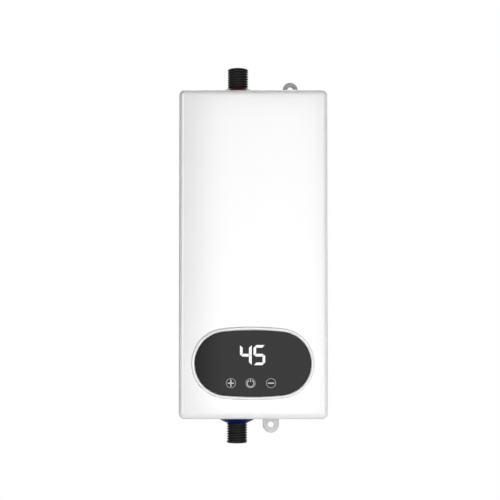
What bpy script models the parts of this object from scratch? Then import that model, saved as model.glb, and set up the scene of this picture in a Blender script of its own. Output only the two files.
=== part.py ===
"""Wall-hung tankless water heater, modelled as an assembly of separate parts.

Metres, +Z up. The origin is on the wall plane behind the middle of the body, and the front faces -Y.
Cold water enters at the bottom, drives the flow sensor's turbine, passes the heating element in a
steel tank and leaves at the top. The electronics stand on the back tray beside the tank.
"""

import math

import bmesh
import bpy
from mathutils import Matrix, Vector

# Body
BODY_WIDTH = 0.1480
BODY_HEIGHT = 0.3280
BODY_DEPTH = 0.0580
CORNER_RADIUS = 0.0060
FRONT_FILLET = 0.0056
COVER_WALL = 0.0022

# Clearances shared by all pieces
CLEARANCE = 0.0003
RUNNING_CLEARANCE = 0.00008
OVERRUN = 0.0010
FUSE_DEPTH = 0.0004
WELD_DISTANCE = 0.00001

# Back tray
TRAY_DEPTH = 0.0090
TRAY_EDGE_ROUND = 0.0034
LIP_WALL = 0.0016
LIP_REACH = 0.0040
GASKET_THICKNESS = 0.0006
GASKET_INSET = 0.0006
EAR_THICKNESS = 0.0030
EAR_SETBACK = 0.0005
EAR_HOLE_RADIUS = 0.0030
UPPER_EAR_INSET = 0.0354
UPPER_EAR_REACH = 0.0095
UPPER_EAR_RADIUS = 0.0077
LOWER_EAR_INSET = 0.0558
LOWER_EAR_REACH = 0.0102
LOWER_EAR_RADIUS = 0.0084

# Cover screws, driven from the rear into pillars of the cover
PILLAR_INSET_X = 0.0100
PILLAR_INSET_Z = 0.0120
PILLAR_RADIUS = 0.0040
PILLAR_TIP_INSET = 0.0006
SCREW_BOSS_RADIUS = 0.0058
SCREW_BOSS_HEIGHT = 0.0060
SCREW_HEAD_RADIUS = 0.0035
SCREW_HEAD_HEIGHT = 0.0022
SCREW_HEAD_SINK = 0.0010
SCREW_SHANK_RADIUS = 0.0014
SCREW_LENGTH = 0.0140

# Grommet where a supply cord would enter through the tray
GROMMET_INSET_X = 0.0240
GROMMET_INSET_Z = 0.0310
GROMMET_FLANGE_RADIUS = 0.0095
GROMMET_NECK_RADIUS = 0.0070
GROMMET_BORE_RADIUS = 0.0045
GROMMET_FLANGE = 0.0018
GROMMET_WEB = 0.0025
GROMMET_SINK = 0.0005
GROMMET_BOSS_WALL = 0.0020

# Display
LENS_SIDE_MARGIN = 0.0160
LENS_HALF_HEIGHT = 0.03295
LENS_END_RADIUS = 0.0320
LENS_CENTRE_RISE = 0.0555
LENS_THICKNESS = 0.0023
LENS_PROUD = 0.0016
LENS_EDGE_ROUND = 0.0003
RING_WIDTH = 0.0028
RING_PROUD = 0.0024
RING_ROUND = 0.0012
BEZEL_FLANGE_WIDTH = 0.0026
BEZEL_FLANGE_THICKNESS = 0.0015
BEZEL_LEDGE_WIDTH = 0.0024
BEZEL_POST_RADIUS = 0.0022
BEZEL_POST_INSET = 0.0220
BEZEL_PIN_RADIUS = 0.0011
BEZEL_PIN_REACH = 0.0020
DISPLAY_BOARD_INSET = 0.0090
DISPLAY_BOARD_MARGIN = 0.0040
BOARD_THICKNESS = 0.0016
BOARD_CORNER = 0.0030
DISPLAY_BOARD_GAP = 0.0067
DIGITS_X = -0.0008
DIGITS_Z = 0.0081
DIGIT_MODULE_WIDTH = 0.0300
DIGIT_MODULE_HEIGHT = 0.0230
DIGIT_MODULE_ROUND = 0.0006
KEY_PITCH = 0.0199
KEY_CENTRE_X = -0.0023
KEY_DROP = 0.0193
SPRING_RADIUS = 0.0028
SPRING_WIRE_RADIUS = 0.0003
SPRING_TURNS = 3
SPRING_STEPS = 6

# Water ways: both spigots carry a 1/2 inch pipe thread, major diameter 20.955 mm
INLET_X = -0.0165
OUTLET_X = -0.0155
PORT_REACH = 0.0260
THREAD_RADIUS = 0.0104775
THREAD_CHAMFER = 0.0008
PORT_BORE_RADIUS = 0.0075
PORT_BORE_DEPTH = 0.0240
SPIGOT_RADIUS = 0.0115
SPIGOT_COLLAR_RADIUS = 0.0140
SPIGOT_COLLAR_WIDTH = 0.0030
SPIGOT_COLLAR_INSET = 0.0080
SPIGOT_BODY_LENGTH = 0.0160
WATERWAY_RADIUS = 0.0060
NOSE_RADIUS = 0.0090
NOSE_LENGTH = 0.0080
RING_GROOVE_DEPTH = 0.0014
RING_GROOVE_WIDTH = 0.0022
RING_GROOVE_OFFSET = 0.0030
PORT_HOLE_RADIUS = 0.0140
TRAY_TAB_SETBACK = 0.0060
TRAY_TAB_WALL = 0.0013

# Domed trim collars round the spigots
COLLAR_BASE_RADIUS = 0.0200
COLLAR_HEIGHT = 0.0054
COLLAR_DOME_RADIUS = 0.0315
COLLAR_NECK_WALL_OVERLAP = 0.0010

# Strainer cup in the cold mouth
STRAINER_FLANGE_RADIUS = 0.0083
STRAINER_FLANGE = 0.0012
STRAINER_SINK = 0.0003
STRAINER_WALL = 0.0008
STRAINER_LENGTH = 0.0180
STRAINER_TAPER = 0.0012
STRAINER_SLOTS = 6
STRAINER_SLOT_WIDTH = 0.0016
STRAINER_SLOT_END = 0.0030

# Flow sensor and its turbine
SENSOR_RADIUS = 0.0125
SENSOR_CHAMBER_LENGTH = 0.0275
SENSOR_WEB = 0.0080
SPIDER_RADIUS = 0.0090
SPIDER_WALL = 0.0008
SPIDER_HEIGHT = 0.0045
SPIDER_HUB_RADIUS = 0.0024
SPIDER_VANES = 4
SPIDER_VANE_THICKNESS = 0.0008
ROTOR_TIP_RADIUS = 0.0086
ROTOR_HUB_RADIUS = 0.0032
ROTOR_LENGTH = 0.0120
ROTOR_BLADES = 6
ROTOR_BLADE_LENGTH = 0.0100
ROTOR_BLADE_THICKNESS = 0.0008
ROTOR_BLADE_TWIST_DEG = 55.0
AXLE_RADIUS = 0.0010
AXLE_SEAT = 0.0030
HALL_SIZE = 0.0040
HALL_THICKNESS = 0.0015
HALL_POCKET_WALL = 0.0010

# Heating tank
TANK_X = -0.0160
TANK_RADIUS = 0.0205
TANK_REAR_SHARE = 0.23
TANK_TOP_DROP = 0.0593
TANK_WALL = 0.0012
CAP_FLANGE = 0.0030
CAP_PLUG = 0.0090
CAP_NECK = 0.0120
CAP_SEAL_DEPTH = 0.0014
SWAGE_DEPTH = 0.0006
SWAGE_WIDTH = 0.0030
ELEMENT_RADIUS = 0.00225
ELEMENT_COIL_RADIUS = 0.0143
ELEMENT_TURNS = 3
ELEMENT_STEPS = 8
ELEMENT_LEAD_IN = 0.0180
ELEMENT_END_GAP = 0.0200
ELEMENT_TERMINAL = 0.0060
CLAMP_SHARES = (0.27, 0.80)
CLAMP_WIDTH = 0.0100
CLAMP_THICKNESS = 0.0010
CLAMP_FOOT = 0.0095
CLAMP_FOOT_HEIGHT = 0.0042
SADDLE_THICKNESS = 0.0030
SADDLE_SETBACK = 0.0160
HOOK_LENGTH = 0.0050
HOOK_THICKNESS = 0.0020
CLAMP_SCREW_LENGTH = 0.0060

# Thermal cut-out on the tank's left, with its reset button
CUTOUT_DROP = 0.0020
CUTOUT_FLANGE_RADIUS = 0.0095
CUTOUT_FLANGE = 0.0014
CUTOUT_BODY_RADIUS = 0.0080
CUTOUT_BODY_LENGTH = 0.0110
CUTOUT_NECK_RADIUS = 0.0038
CUTOUT_NECK_LENGTH = 0.0030
CUTOUT_TAB_WIDTH = 0.0048
CUTOUT_TAB_LENGTH = 0.0060
CUTOUT_TAB_THICKNESS = 0.0008
BUTTON_RADIUS = 0.0020
BUTTON_SHANK = 0.0075
BUTTON_BORE_DEPTH = 0.0090
BUTTON_HEAD_RADIUS = 0.0026
BUTTON_HEAD = 0.0017
BUTTON_EDGE = 0.0005
BUTTON_TRAVEL = 0.0015
BRACKET_THICKNESS = 0.0010
BRACKET_HEIGHT = 0.0200
BRACKET_WIDTH = 0.0220

# Temperature probes
PROBE_TIP_RADIUS = 0.0020
PROBE_TIP_DEPTH = 0.0075
PROBE_HEX_RADIUS = 0.0045
PROBE_HEX = 0.0040
PROBE_TAIL_RADIUS = 0.0026
PROBE_TAIL = 0.0020
OUTLET_PROBE_DROP = 0.0270

# Power board and what stands on it
POWER_BOARD_TANK_GAP = 0.0175
POWER_BOARD_SIDE_GAP = 0.0055
POWER_BOARD_RISE = 0.1140
POWER_BOARD_TOP_GAP = 0.0380
POWER_BOARD_STANDOFF = 0.0072
STANDOFF_RADIUS = 0.0030
STANDOFF_INSET = 0.0050
STANDOFF_PIN_RADIUS = 0.0012
STANDOFF_PIN_REACH = 0.0032
PIN_HOLE_RADIUS = 0.0016
RELAY_SIZE = (0.0160, 0.0200, 0.0280)
RELAY_SHARES = (0.40, 0.45)
RELAY_ROUND = 0.0008
TRANSFORMER_SIZE = (0.0180, 0.0160, 0.0200)
TRANSFORMER_SHARES = (0.50, 0.83)
TRANSFORMER_CORE_SHARE = 0.45
CAPACITOR_RADIUS = 0.0060
CAPACITOR_HEIGHT = 0.0220
CAPACITOR_SHARES = (0.45, 0.655)
CAPACITOR_GROOVE = 0.0006
TERMINAL_SIZE = (0.0240, 0.0150, 0.0120)
TERMINAL_SHARES = (0.50, 0.135)
TERMINAL_WAYS = 3
TERMINAL_WELL_RADIUS = 0.0026
TERMINAL_WELL_DEPTH = 0.0080
COIL_RING_RADIUS = 0.0090
COIL_RING_THICKNESS = 0.0042
COIL_SHARES = (0.50, 0.262)
TRIAC_SIZE = (0.0050, 0.0150, 0.0200)
TRIAC_ROUND = 0.0005
TRIAC_SCREW_RADIUS = 0.0017
SINK_THICKNESS = 0.0070
SINK_DEPTH = 0.0220
SINK_HEIGHT = 0.0380
SINK_SHARE = 0.535

# Earth screw on the tank
EARTH_SHARE = 0.10
EARTH_SHANK_RADIUS = 0.0020
EARTH_SHANK = 0.0040
EARTH_WASHER_RADIUS = 0.0048
EARTH_WASHER = 0.0010
EARTH_HEAD_RADIUS = 0.0038
EARTH_HEAD = 0.0028

# Leads
LEAD_RADIUS = 0.0012
SENSOR_LEAD_RADIUS = 0.0009
LEAD_START = 0.0060
LEAD_OVER_SPIGOT = 0.0060
LEAD_RISE = 0.0180
LEAD_BEHIND = 0.0045
LEAD_PITCH = 0.0032
RIBBON_WIDTH = 0.0130
RIBBON_THICKNESS = 0.0006
RIBBON_INSET = 0.0240
RIBBON_EDGE = 0.0020
RIBBON_BELLY = 0.0120
LEAD_STEPS = 2

# Facets
ROUND_STEPS = 18
FINE_STEPS = 14
SMALL_STEPS = 8
PIN_STEPS = 8
SEAL_SIDES = 4
END_ARC_STEPS = 8
CROWN_ARC_STEPS = 4
CORNER_SEGMENTS = 4
ROUND_SEGMENTS = 3
CROWN_SEGMENTS = 2
SHARP_ANGLE_DEG = 32.0
BEVEL_ANGLE_DEG = 50.0

# Places worked out from the sizes above: casing
HALF_WIDTH = BODY_WIDTH / 2
HALF_HEIGHT = BODY_HEIGHT / 2
SEAM_Y = -TRAY_DEPTH
COVER_REAR_Y = SEAM_Y - GASKET_THICKNESS - 2 * CLEARANCE
COVER_INNER_Y = -BODY_DEPTH + COVER_WALL
TRAY_WALL = COVER_WALL + 2 * CLEARANCE
FLOOR_Y = -TRAY_WALL
UPPER_EAR_X = HALF_WIDTH - UPPER_EAR_INSET
LOWER_EAR_X = HALF_WIDTH - LOWER_EAR_INSET
PILLAR_X = HALF_WIDTH - PILLAR_INSET_X
PILLAR_Z = HALF_HEIGHT - PILLAR_INSET_Z
SCREW_BOSS_Y = -SCREW_BOSS_HEIGHT
PILLAR_REAR_Y = SCREW_BOSS_Y - CLEARANCE
GROMMET_X = HALF_WIDTH - GROMMET_INSET_X
GROMMET_Z = GROMMET_INSET_Z - HALF_HEIGHT

# Display
LENS_HALF_WIDTH = HALF_WIDTH - LENS_SIDE_MARGIN
LENS_CENTRE_Z = LENS_CENTRE_RISE - HALF_HEIGHT
LENS_FRONT_Y = -BODY_DEPTH - LENS_PROUD
LENS_REAR_Y = LENS_FRONT_Y + LENS_THICKNESS
BEZEL_POST_X = LENS_HALF_WIDTH - BEZEL_POST_INSET
DISPLAY_BOARD_HALF_WIDTH = LENS_HALF_WIDTH - DISPLAY_BOARD_INSET
DISPLAY_BOARD_Y = LENS_REAR_Y + DISPLAY_BOARD_GAP
DISPLAY_BOARD_REAR_Y = DISPLAY_BOARD_Y + BOARD_THICKNESS

# Tank and water train: the depth left over is shared between the tank's rear and its strapped front
SPARE_DEPTH = BODY_DEPTH - COVER_WALL - TRAY_WALL - 2 * (TANK_RADIUS + CLEARANCE) - CLAMP_THICKNESS
PORT_Y = -(TRAY_WALL + CLEARANCE + TANK_RADIUS + SPARE_DEPTH * TANK_REAR_SHARE)
MOUTH_Z = HALF_HEIGHT + PORT_REACH
SPIGOT_INNER_Z = HALF_HEIGHT - SPIGOT_BODY_LENGTH
NOSE_Z = -SPIGOT_INNER_Z + NOSE_LENGTH
SENSOR_BOTTOM_Z = -SPIGOT_INNER_Z + CLEARANCE
CHAMBER_BOTTOM_Z = NOSE_Z + CLEARANCE
CHAMBER_TOP_Z = CHAMBER_BOTTOM_Z + SENSOR_CHAMBER_LENGTH
TURBINE_Z = CHAMBER_BOTTOM_Z + SENSOR_CHAMBER_LENGTH / 2
SENSOR_SOCKET_Z = CHAMBER_TOP_Z + SENSOR_WEB
SENSOR_TOP_Z = SENSOR_SOCKET_Z + CAP_NECK
LOWER_FLANGE_Z = SENSOR_TOP_Z + CLEARANCE
TANK_BOTTOM_Z = LOWER_FLANGE_Z + CAP_FLANGE + CLEARANCE
UPPER_FLANGE_Z = HALF_HEIGHT - TANK_TOP_DROP
TANK_TOP_Z = UPPER_FLANGE_Z - CAP_FLANGE - CLEARANCE
TANK_LENGTH = TANK_TOP_Z - TANK_BOTTOM_Z
SOCKET_RADIUS = NOSE_RADIUS + CLEARANCE
PLUG_RADIUS = TANK_RADIUS - TANK_WALL - CLEARANCE
CLAMP_FOOT_Y = FLOOR_Y - CLAMP_FOOT_HEIGHT
CUTOUT_Z = TANK_BOTTOM_Z + TANK_LENGTH * CLAMP_SHARES[1] / 2 + CUTOUT_DROP
CUTOUT_X = TANK_X - TANK_RADIUS - BRACKET_THICKNESS - 2 * CLEARANCE
INLET_PROBE_Z = CHAMBER_TOP_Z + SENSOR_WEB / 2
OUTLET_PROBE_Z = HALF_HEIGHT - OUTLET_PROBE_DROP
TERMINAL_TOP_Z = UPPER_FLANGE_Z + ELEMENT_TERMINAL

# Power board
POWER_BOARD_X = TANK_X + TANK_RADIUS + POWER_BOARD_TANK_GAP
POWER_BOARD_WIDTH = HALF_WIDTH - POWER_BOARD_SIDE_GAP - POWER_BOARD_X
POWER_BOARD_BOTTOM = POWER_BOARD_RISE - HALF_HEIGHT
POWER_BOARD_HEIGHT = HALF_HEIGHT - POWER_BOARD_TOP_GAP - POWER_BOARD_BOTTOM
POWER_BOARD_REAR_Y = -(TRAY_WALL + POWER_BOARD_STANDOFF + CLEARANCE)
POWER_BOARD_Y = POWER_BOARD_REAR_Y - BOARD_THICKNESS
MOUNTED_Y = POWER_BOARD_Y - CLEARANCE

ASSEMBLY = "tankless_water_heater"
FACE_FRONT = (math.pi / 2, 0.0, 0.0)


def clear_scene():
    """Remove every object of the open scene."""
    for item in list(bpy.data.objects):
        bpy.data.objects.remove(item)


def new_collection(name):
    """Return a new collection linked to the scene."""
    collection = bpy.data.collections.new(name)
    bpy.context.scene.collection.children.link(collection)
    return collection


def finish(name, colour, roughness, metallic=0.0):
    """Return a Principled material with this colour, roughness and metallic value."""
    material = bpy.data.materials.new(name)
    material.use_nodes = True
    shader = material.node_tree.nodes["Principled BSDF"]
    shader.inputs["Base Color"].default_value = (*colour, 1.0)
    shader.inputs["Roughness"].default_value = roughness
    shader.inputs["Metallic"].default_value = metallic
    return material


clear_scene()
PARTS = new_collection(ASSEMBLY)
CUTTERS = new_collection("cutters")


def add_part(name, mesh, colour, roughness, metallic=0.0, location=(0, 0, 0), rotation=(0, 0, 0)):
    """Put a mesh or curve in the assembly under its own name and finish."""
    mesh.materials.clear()
    mesh.materials.append(finish(name, colour, roughness, metallic))
    part = bpy.data.objects.new(name, mesh)
    part.location = location
    part.rotation_euler = rotation
    PARTS.objects.link(part)
    return part


def add_cutter(name, mesh, location=(0, 0, 0), rotation=(0, 0, 0)):
    """Put a mesh among the cutters, hidden from renders."""
    cutter = bpy.data.objects.new(name, mesh)
    cutter.location = location
    cutter.rotation_euler = rotation
    cutter.display_type = "WIRE"
    cutter.hide_render = True
    CUTTERS.objects.link(cutter)
    return cutter


def combine(part, tool, operation):
    """Join a tool shape to a part, or cut it out, with a Boolean modifier."""
    boolean = part.modifiers.new(tool.name, "BOOLEAN")
    boolean.operation = operation
    boolean.solver = "EXACT"
    boolean.object = tool


def join_shape(part, name, mesh, location=(0, 0, 0), rotation=(0, 0, 0)):
    """Fuse a mesh to a part."""
    combine(part, add_cutter(name, mesh, location, rotation), "UNION")


def cut_shape(part, name, mesh, location=(0, 0, 0), rotation=(0, 0, 0)):
    """Cut a mesh out of a part."""
    combine(part, add_cutter(name, mesh, location, rotation), "DIFFERENCE")


def evaluated_mesh(source):
    """Return the mesh of an object with its modifiers applied."""
    graph = bpy.context.evaluated_depsgraph_get()
    graph.update()
    return bpy.data.meshes.new_from_object(source.evaluated_get(graph))


def tidy_mesh(mesh, recalculate=False):
    """Weld loose caps and, where asked, turn all faces outwards."""
    work = bmesh.new()
    work.from_mesh(mesh)
    bmesh.ops.remove_doubles(work, verts=work.verts, dist=WELD_DISTANCE)
    if recalculate:
        bmesh.ops.recalc_face_normals(work, faces=work.faces)
    work.to_mesh(mesh)
    work.free()
    return mesh


def settle(part):
    """Apply a part's modifiers, and shade its round faces smooth."""
    if part.modifiers:
        mesh = tidy_mesh(evaluated_mesh(part))
        part.modifiers.clear()
        part.data = mesh
    part.data.shade_smooth()
    part.data.set_sharp_from_angle(angle=math.radians(SHARP_ANGLE_DEG))


def box_mesh(name, size):
    """Return a box centred on its own origin."""
    work = bmesh.new()
    bmesh.ops.create_cube(work, size=1.0)
    bmesh.ops.scale(work, vec=size, verts=work.verts)
    mesh = bpy.data.meshes.new(name)
    work.to_mesh(mesh)
    work.free()
    return mesh


def span_mesh(name, low, high):
    """Return a box that fills the space between two corners."""
    size = [top - bottom for bottom, top in zip(low, high)]
    centre = [(top + bottom) / 2 for bottom, top in zip(low, high)]
    mesh = box_mesh(name, size)
    mesh.transform(Matrix.Translation(centre))
    return mesh


def cylinder_mesh(name, radius, length, steps, top_radius=None):
    """Return a cylinder or cone along Z, centred on its own origin."""
    work = bmesh.new()
    bmesh.ops.create_cone(
        work,
        cap_ends=True,
        segments=steps,
        radius1=radius,
        radius2=radius if top_radius is None else top_radius,
        depth=length,
    )
    mesh = bpy.data.meshes.new(name)
    work.to_mesh(mesh)
    work.free()
    return mesh


def open_box_mesh(name, low, high, open_side, weighted=True):
    """Return a box without its open side, its four depth edges weighted for a bevel."""
    mesh = span_mesh(name, low, high)
    work = bmesh.new()
    work.from_mesh(mesh)
    gone = [face for face in work.faces if face.normal.dot(Vector(open_side)) > 0.5]
    bmesh.ops.delete(work, geom=gone, context="FACES")
    weights = work.edges.layers.float.new("bevel_weight_edge")
    for edge in work.edges:
        along = (edge.verts[0].co - edge.verts[1].co).normalized()
        if weighted and abs(along.dot(Vector(open_side))) > 0.5:
            edge[weights] = 1.0
    work.to_mesh(mesh)
    work.free()
    return mesh


def round_edges(part, width, segments, method="ANGLE"):
    """Round a part's edges: the weighted ones, or all that turn sharply."""
    bevel = part.modifiers.new("Round " + method.lower(), "BEVEL")
    bevel.width = width
    bevel.segments = segments
    bevel.limit_method = method
    bevel.angle_limit = math.radians(BEVEL_ANGLE_DEG)


def thicken(part, wall, inwards=True):
    """Give an open surface its wall."""
    solidify = part.modifiers.new("Wall", "SOLIDIFY")
    solidify.thickness = wall
    solidify.offset = -1.0 if inwards else 1.0
    solidify.use_even_offset = True


def turned_mesh(name, profile, steps, closed=False):
    """Revolve a profile of (radius, z) points that runs down its outer side round Z."""
    points = [(radius, 0.0, height) for radius, height in profile]
    count = len(points)
    edges = [(index, index + 1) for index in range(count - 1)]
    if closed:
        edges.append((count - 1, 0))
    mesh = bpy.data.meshes.new(name)
    mesh.from_pydata(points, edges, [])
    lathe = bpy.data.objects.new(name, mesh)
    CUTTERS.objects.link(lathe)
    screw = lathe.modifiers.new("Turn", "SCREW")
    screw.axis = "Z"
    screw.angle = 2 * math.pi
    screw.steps = steps
    screw.render_steps = steps
    screw.use_merge_vertices = True
    screw.merge_threshold = WELD_DISTANCE
    result = tidy_mesh(evaluated_mesh(lathe))
    bpy.data.objects.remove(lathe)
    return result


def curve_object(name, outlines, closed=True, flat=True):
    """Return a curve object with straight-sided splines through the outlines' points."""
    curve = bpy.data.curves.new(name, "CURVE")
    curve.dimensions = "2D" if flat else "3D"
    for outline in outlines:
        spline = curve.splines.new("POLY")
        spline.points.add(len(outline) - 1)
        spline.use_cyclic_u = closed
        for point, place in zip(spline.points, outline):
            point.co = (*place, 0.0, 1.0) if flat else (*place, 1.0)
    shape = bpy.data.objects.new(name, curve)
    CUTTERS.objects.link(shape)
    return shape


def plate_mesh(name, outlines, thickness):
    """Return a flat plate in the XY plane from closed outlines, the inner ones holes."""
    shape = curve_object(name, outlines)
    shape.data.fill_mode = "BOTH"
    shape.data.extrude = thickness / 2
    mesh = tidy_mesh(evaluated_mesh(shape), recalculate=True)
    bpy.data.objects.remove(shape)
    return mesh


def sleeve_mesh(name, low, high, radius, wall):
    """Return a rectangular sleeve with round corners, open along Y, its wall inside the given box."""
    mesh = open_box_mesh(name, low, high, (0, 1, 0))
    work = bmesh.new()
    work.from_mesh(mesh)
    front = [face for face in work.faces if face.normal.y < -0.5]
    bmesh.ops.delete(work, geom=front, context="FACES")
    work.to_mesh(mesh)
    work.free()
    sleeve = bpy.data.objects.new(name, mesh)
    CUTTERS.objects.link(sleeve)
    round_edges(sleeve, radius, CORNER_SEGMENTS, "WEIGHT")
    thicken(sleeve, wall)
    result = tidy_mesh(evaluated_mesh(sleeve))
    bpy.data.objects.remove(sleeve)
    return result


def ring_mesh(name, path, section):
    """Sweep a closed section, given as (inwards, up) points, along a closed flat path."""
    guide = curve_object(name + "_section", [section])
    shape = curve_object(name, [path])
    shape.data.bevel_mode = "OBJECT"
    shape.data.bevel_object = guide
    mesh = tidy_mesh(evaluated_mesh(shape), recalculate=True)
    bpy.data.objects.remove(shape)
    bpy.data.objects.remove(guide)
    return mesh


def add_tube(name, route, radius, colour, roughness, metallic=0.0, resolution=1):
    """Add a round wire or lead along a route as a curve with filled caps."""
    shape = curve_object(name, [route], closed=False, flat=False)
    CUTTERS.objects.unlink(shape)
    curve = shape.data
    bpy.data.objects.remove(shape)
    curve.bevel_depth = radius
    curve.bevel_resolution = resolution
    curve.use_fill_caps = True
    return add_part(name, curve, colour, roughness, metallic)


def strip_mesh(name, path, width, thickness):
    """Return a strip of even thickness along a path in the XY plane, width along Z."""
    work = bmesh.new()
    low = [work.verts.new((*point, -width / 2)) for point in path]
    edges = [work.edges.new(pair) for pair in zip(low, low[1:])]
    sheet = bmesh.ops.extrude_edge_only(work, edges=edges)
    raised = [item for item in sheet["geom"] if isinstance(item, bmesh.types.BMVert)]
    bmesh.ops.translate(work, vec=(0.0, 0.0, width), verts=raised)
    mesh = bpy.data.meshes.new(name)
    work.to_mesh(mesh)
    work.free()
    band = bpy.data.objects.new(name, mesh)
    CUTTERS.objects.link(band)
    thicken(band, thickness)
    result = tidy_mesh(evaluated_mesh(band), recalculate=True)
    bpy.data.objects.remove(band)
    return result


def arc_points(centre, radius, start, end, steps):
    """Return points of an arc from a start to an end angle, both included."""
    angles = [start + (end - start) * index / steps for index in range(steps + 1)]
    return [(centre[0] + radius * math.cos(turn), centre[1] + radius * math.sin(turn)) for turn in angles]


def rounded_rectangle(half_width, half_height, radius, steps):
    """Return the outline of a rectangle with round corners, counter-clockwise."""
    outline = []
    quarter = math.pi / 2
    for index, (side_x, side_y) in enumerate(((1, 1), (-1, 1), (-1, -1), (1, -1))):
        centre = (side_x * (half_width - radius), side_y * (half_height - radius))
        outline += arc_points(centre, radius, quarter * index, quarter * (index + 1), steps)
    return outline


def lens_outline(offset=0.0):
    """Return the lens outline, two end arcs joined by shallow crowns, moved out by an offset."""
    end_x = LENS_HALF_WIDTH - LENS_END_RADIUS
    rise = LENS_HALF_HEIGHT - LENS_END_RADIUS
    crown_radius = (end_x ** 2 + LENS_HALF_HEIGHT ** 2 - LENS_END_RADIUS ** 2) / (2 * rise)
    crown_drop = crown_radius - LENS_HALF_HEIGHT
    tilt = math.atan2(end_x, crown_drop)
    quarter = math.pi / 2
    end_radius = LENS_END_RADIUS + offset
    wide_radius = crown_radius + offset
    outline = arc_points((end_x, 0.0), end_radius, tilt - quarter, quarter - tilt, END_ARC_STEPS)
    crown = arc_points((0.0, -crown_drop), wide_radius, quarter - tilt, quarter + tilt, CROWN_ARC_STEPS)
    outline += crown[1:-1]
    outline += arc_points((-end_x, 0.0), end_radius, quarter + tilt, 3 * quarter - tilt, END_ARC_STEPS)
    outline += [(-x, -y) for x, y in crown[1:-1]]
    return outline


def smooth_route(points, steps):
    """Return a smooth curve through all the given points, its first and last stretch straight."""
    places = [Vector(point) for point in points]
    route = [places[0]]
    for index in range(1, len(places) - 2):
        before, start, end, after = places[index - 1:index + 3]
        pull = end - before
        bend = 2 * before - 5 * start + 4 * end - after
        twist = 3 * start - before - 3 * end + after
        for step in range(steps):
            share = step / steps
            route.append(start + (pull * share + bend * share ** 2 + twist * share ** 3) / 2)
    route += places[-2:]
    return [tuple(place) for place in route]


def make_front_cover():
    """The front shell: open at the rear, with a window, slots for the ports and screw pillars."""
    low = (-HALF_WIDTH, -BODY_DEPTH, -HALF_HEIGHT)
    high = (HALF_WIDTH, COVER_REAR_Y, HALF_HEIGHT)
    mesh = open_box_mesh("front_cover", low, high, (0, 1, 0))
    cover = add_part("front_cover", mesh, (0.90, 0.90, 0.91), 0.22)
    round_edges(cover, CORNER_RADIUS, CORNER_SEGMENTS, "WEIGHT")
    round_edges(cover, FRONT_FILLET, CORNER_SEGMENTS)
    thicken(cover, COVER_WALL)

    pillar_front = COVER_INNER_Y - FUSE_DEPTH
    pillar_length = PILLAR_REAR_Y - pillar_front
    bore_radius = SCREW_SHANK_RADIUS + CLEARANCE
    bore_length = SCREW_LENGTH + OVERRUN
    for side_x in (-1, 1):
        for side_z in (-1, 1):
            place = (side_x * PILLAR_X, PILLAR_REAR_Y - pillar_length / 2, side_z * PILLAR_Z)
            pillar = cylinder_mesh("pillar", PILLAR_RADIUS, pillar_length, SMALL_STEPS,
                                   PILLAR_RADIUS - PILLAR_TIP_INSET)
            join_shape(cover, "pillar", pillar, place, (-math.pi / 2, 0, 0))
            bore = cylinder_mesh("pillar_bore", bore_radius, bore_length, PIN_STEPS)
            centre_y = PILLAR_REAR_Y + OVERRUN - bore_length / 2
            cut_shape(cover, "pillar_bore", bore, (place[0], centre_y, place[2]), FACE_FRONT)

    window = plate_mesh("window", [lens_outline(RING_WIDTH + 2 * CLEARANCE)], COVER_WALL + 2 * OVERRUN)
    cut_shape(cover, "window", window, (0, -BODY_DEPTH + COVER_WALL / 2, LENS_CENTRE_Z), FACE_FRONT)
    for port_x, side in ((OUTLET_X, 1), (INLET_X, -1)):
        slot = arc_points((0.0, 0.0), PORT_HOLE_RADIUS, math.pi, 2 * math.pi, SMALL_STEPS)
        slot += [(PORT_HOLE_RADIUS, COVER_REAR_Y - PORT_Y + OVERRUN)]
        slot += [(-PORT_HOLE_RADIUS, COVER_REAR_Y - PORT_Y + OVERRUN)]
        mesh = plate_mesh("port_slot", [slot], COVER_WALL + 2 * OVERRUN)
        cut_shape(cover, "port_slot", mesh, (port_x, PORT_Y, side * (HALF_HEIGHT - COVER_WALL / 2)))
    return cover


def ear_mesh(radius, reach, side):
    """Return a fixing ear: a tongue with a round end and its hole, in the XY plane."""
    root = FUSE_DEPTH - TRAY_WALL
    tongue = arc_points((0.0, reach), radius, 0.0, math.pi, SMALL_STEPS)
    tongue += [(-radius, root), (radius, root)]
    hole = arc_points((0.0, reach), EAR_HOLE_RADIUS, 0.0, 2 * math.pi, FINE_STEPS)[:-1]
    outlines = [[(x, side * y) for x, y in outline] for outline in (tongue, hole)]
    return plate_mesh("ear", outlines, EAR_THICKNESS)


def cradle_mesh(radius, half_width, front_y, thickness):
    """Return an upright rib with a round notch for a pipe, its origin on the pipe's axis."""
    floor = FLOOR_Y - PORT_Y + FUSE_DEPTH
    top = front_y - PORT_Y
    side = math.sqrt(radius ** 2 - top ** 2)
    start = math.atan2(top, side)
    notch = arc_points((0.0, 0.0), radius, start, math.pi - start, SMALL_STEPS)
    outline = [(half_width, floor), (half_width, top)] + notch + [(-half_width, top), (-half_width, floor)]
    return plate_mesh("cradle", [outline], thickness)


def floor_boss(tray, name, x, z, radius, front_y, steps=SMALL_STEPS):
    """Raise a round boss from the tray's floor to a height given by its front plane."""
    length = FLOOR_Y + FUSE_DEPTH - front_y
    boss = cylinder_mesh(name, radius, length, steps)
    join_shape(tray, name, boss, (x, front_y + length / 2, z), FACE_FRONT)


def floor_bore(tray, name, x, z, radius, rear_y, front_y, steps=SMALL_STEPS):
    """Bore the tray along Y between two planes."""
    length = rear_y - front_y
    bore = cylinder_mesh(name, radius, length, steps)
    cut_shape(tray, name, bore, (x, front_y + length / 2, z), FACE_FRONT)


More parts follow.
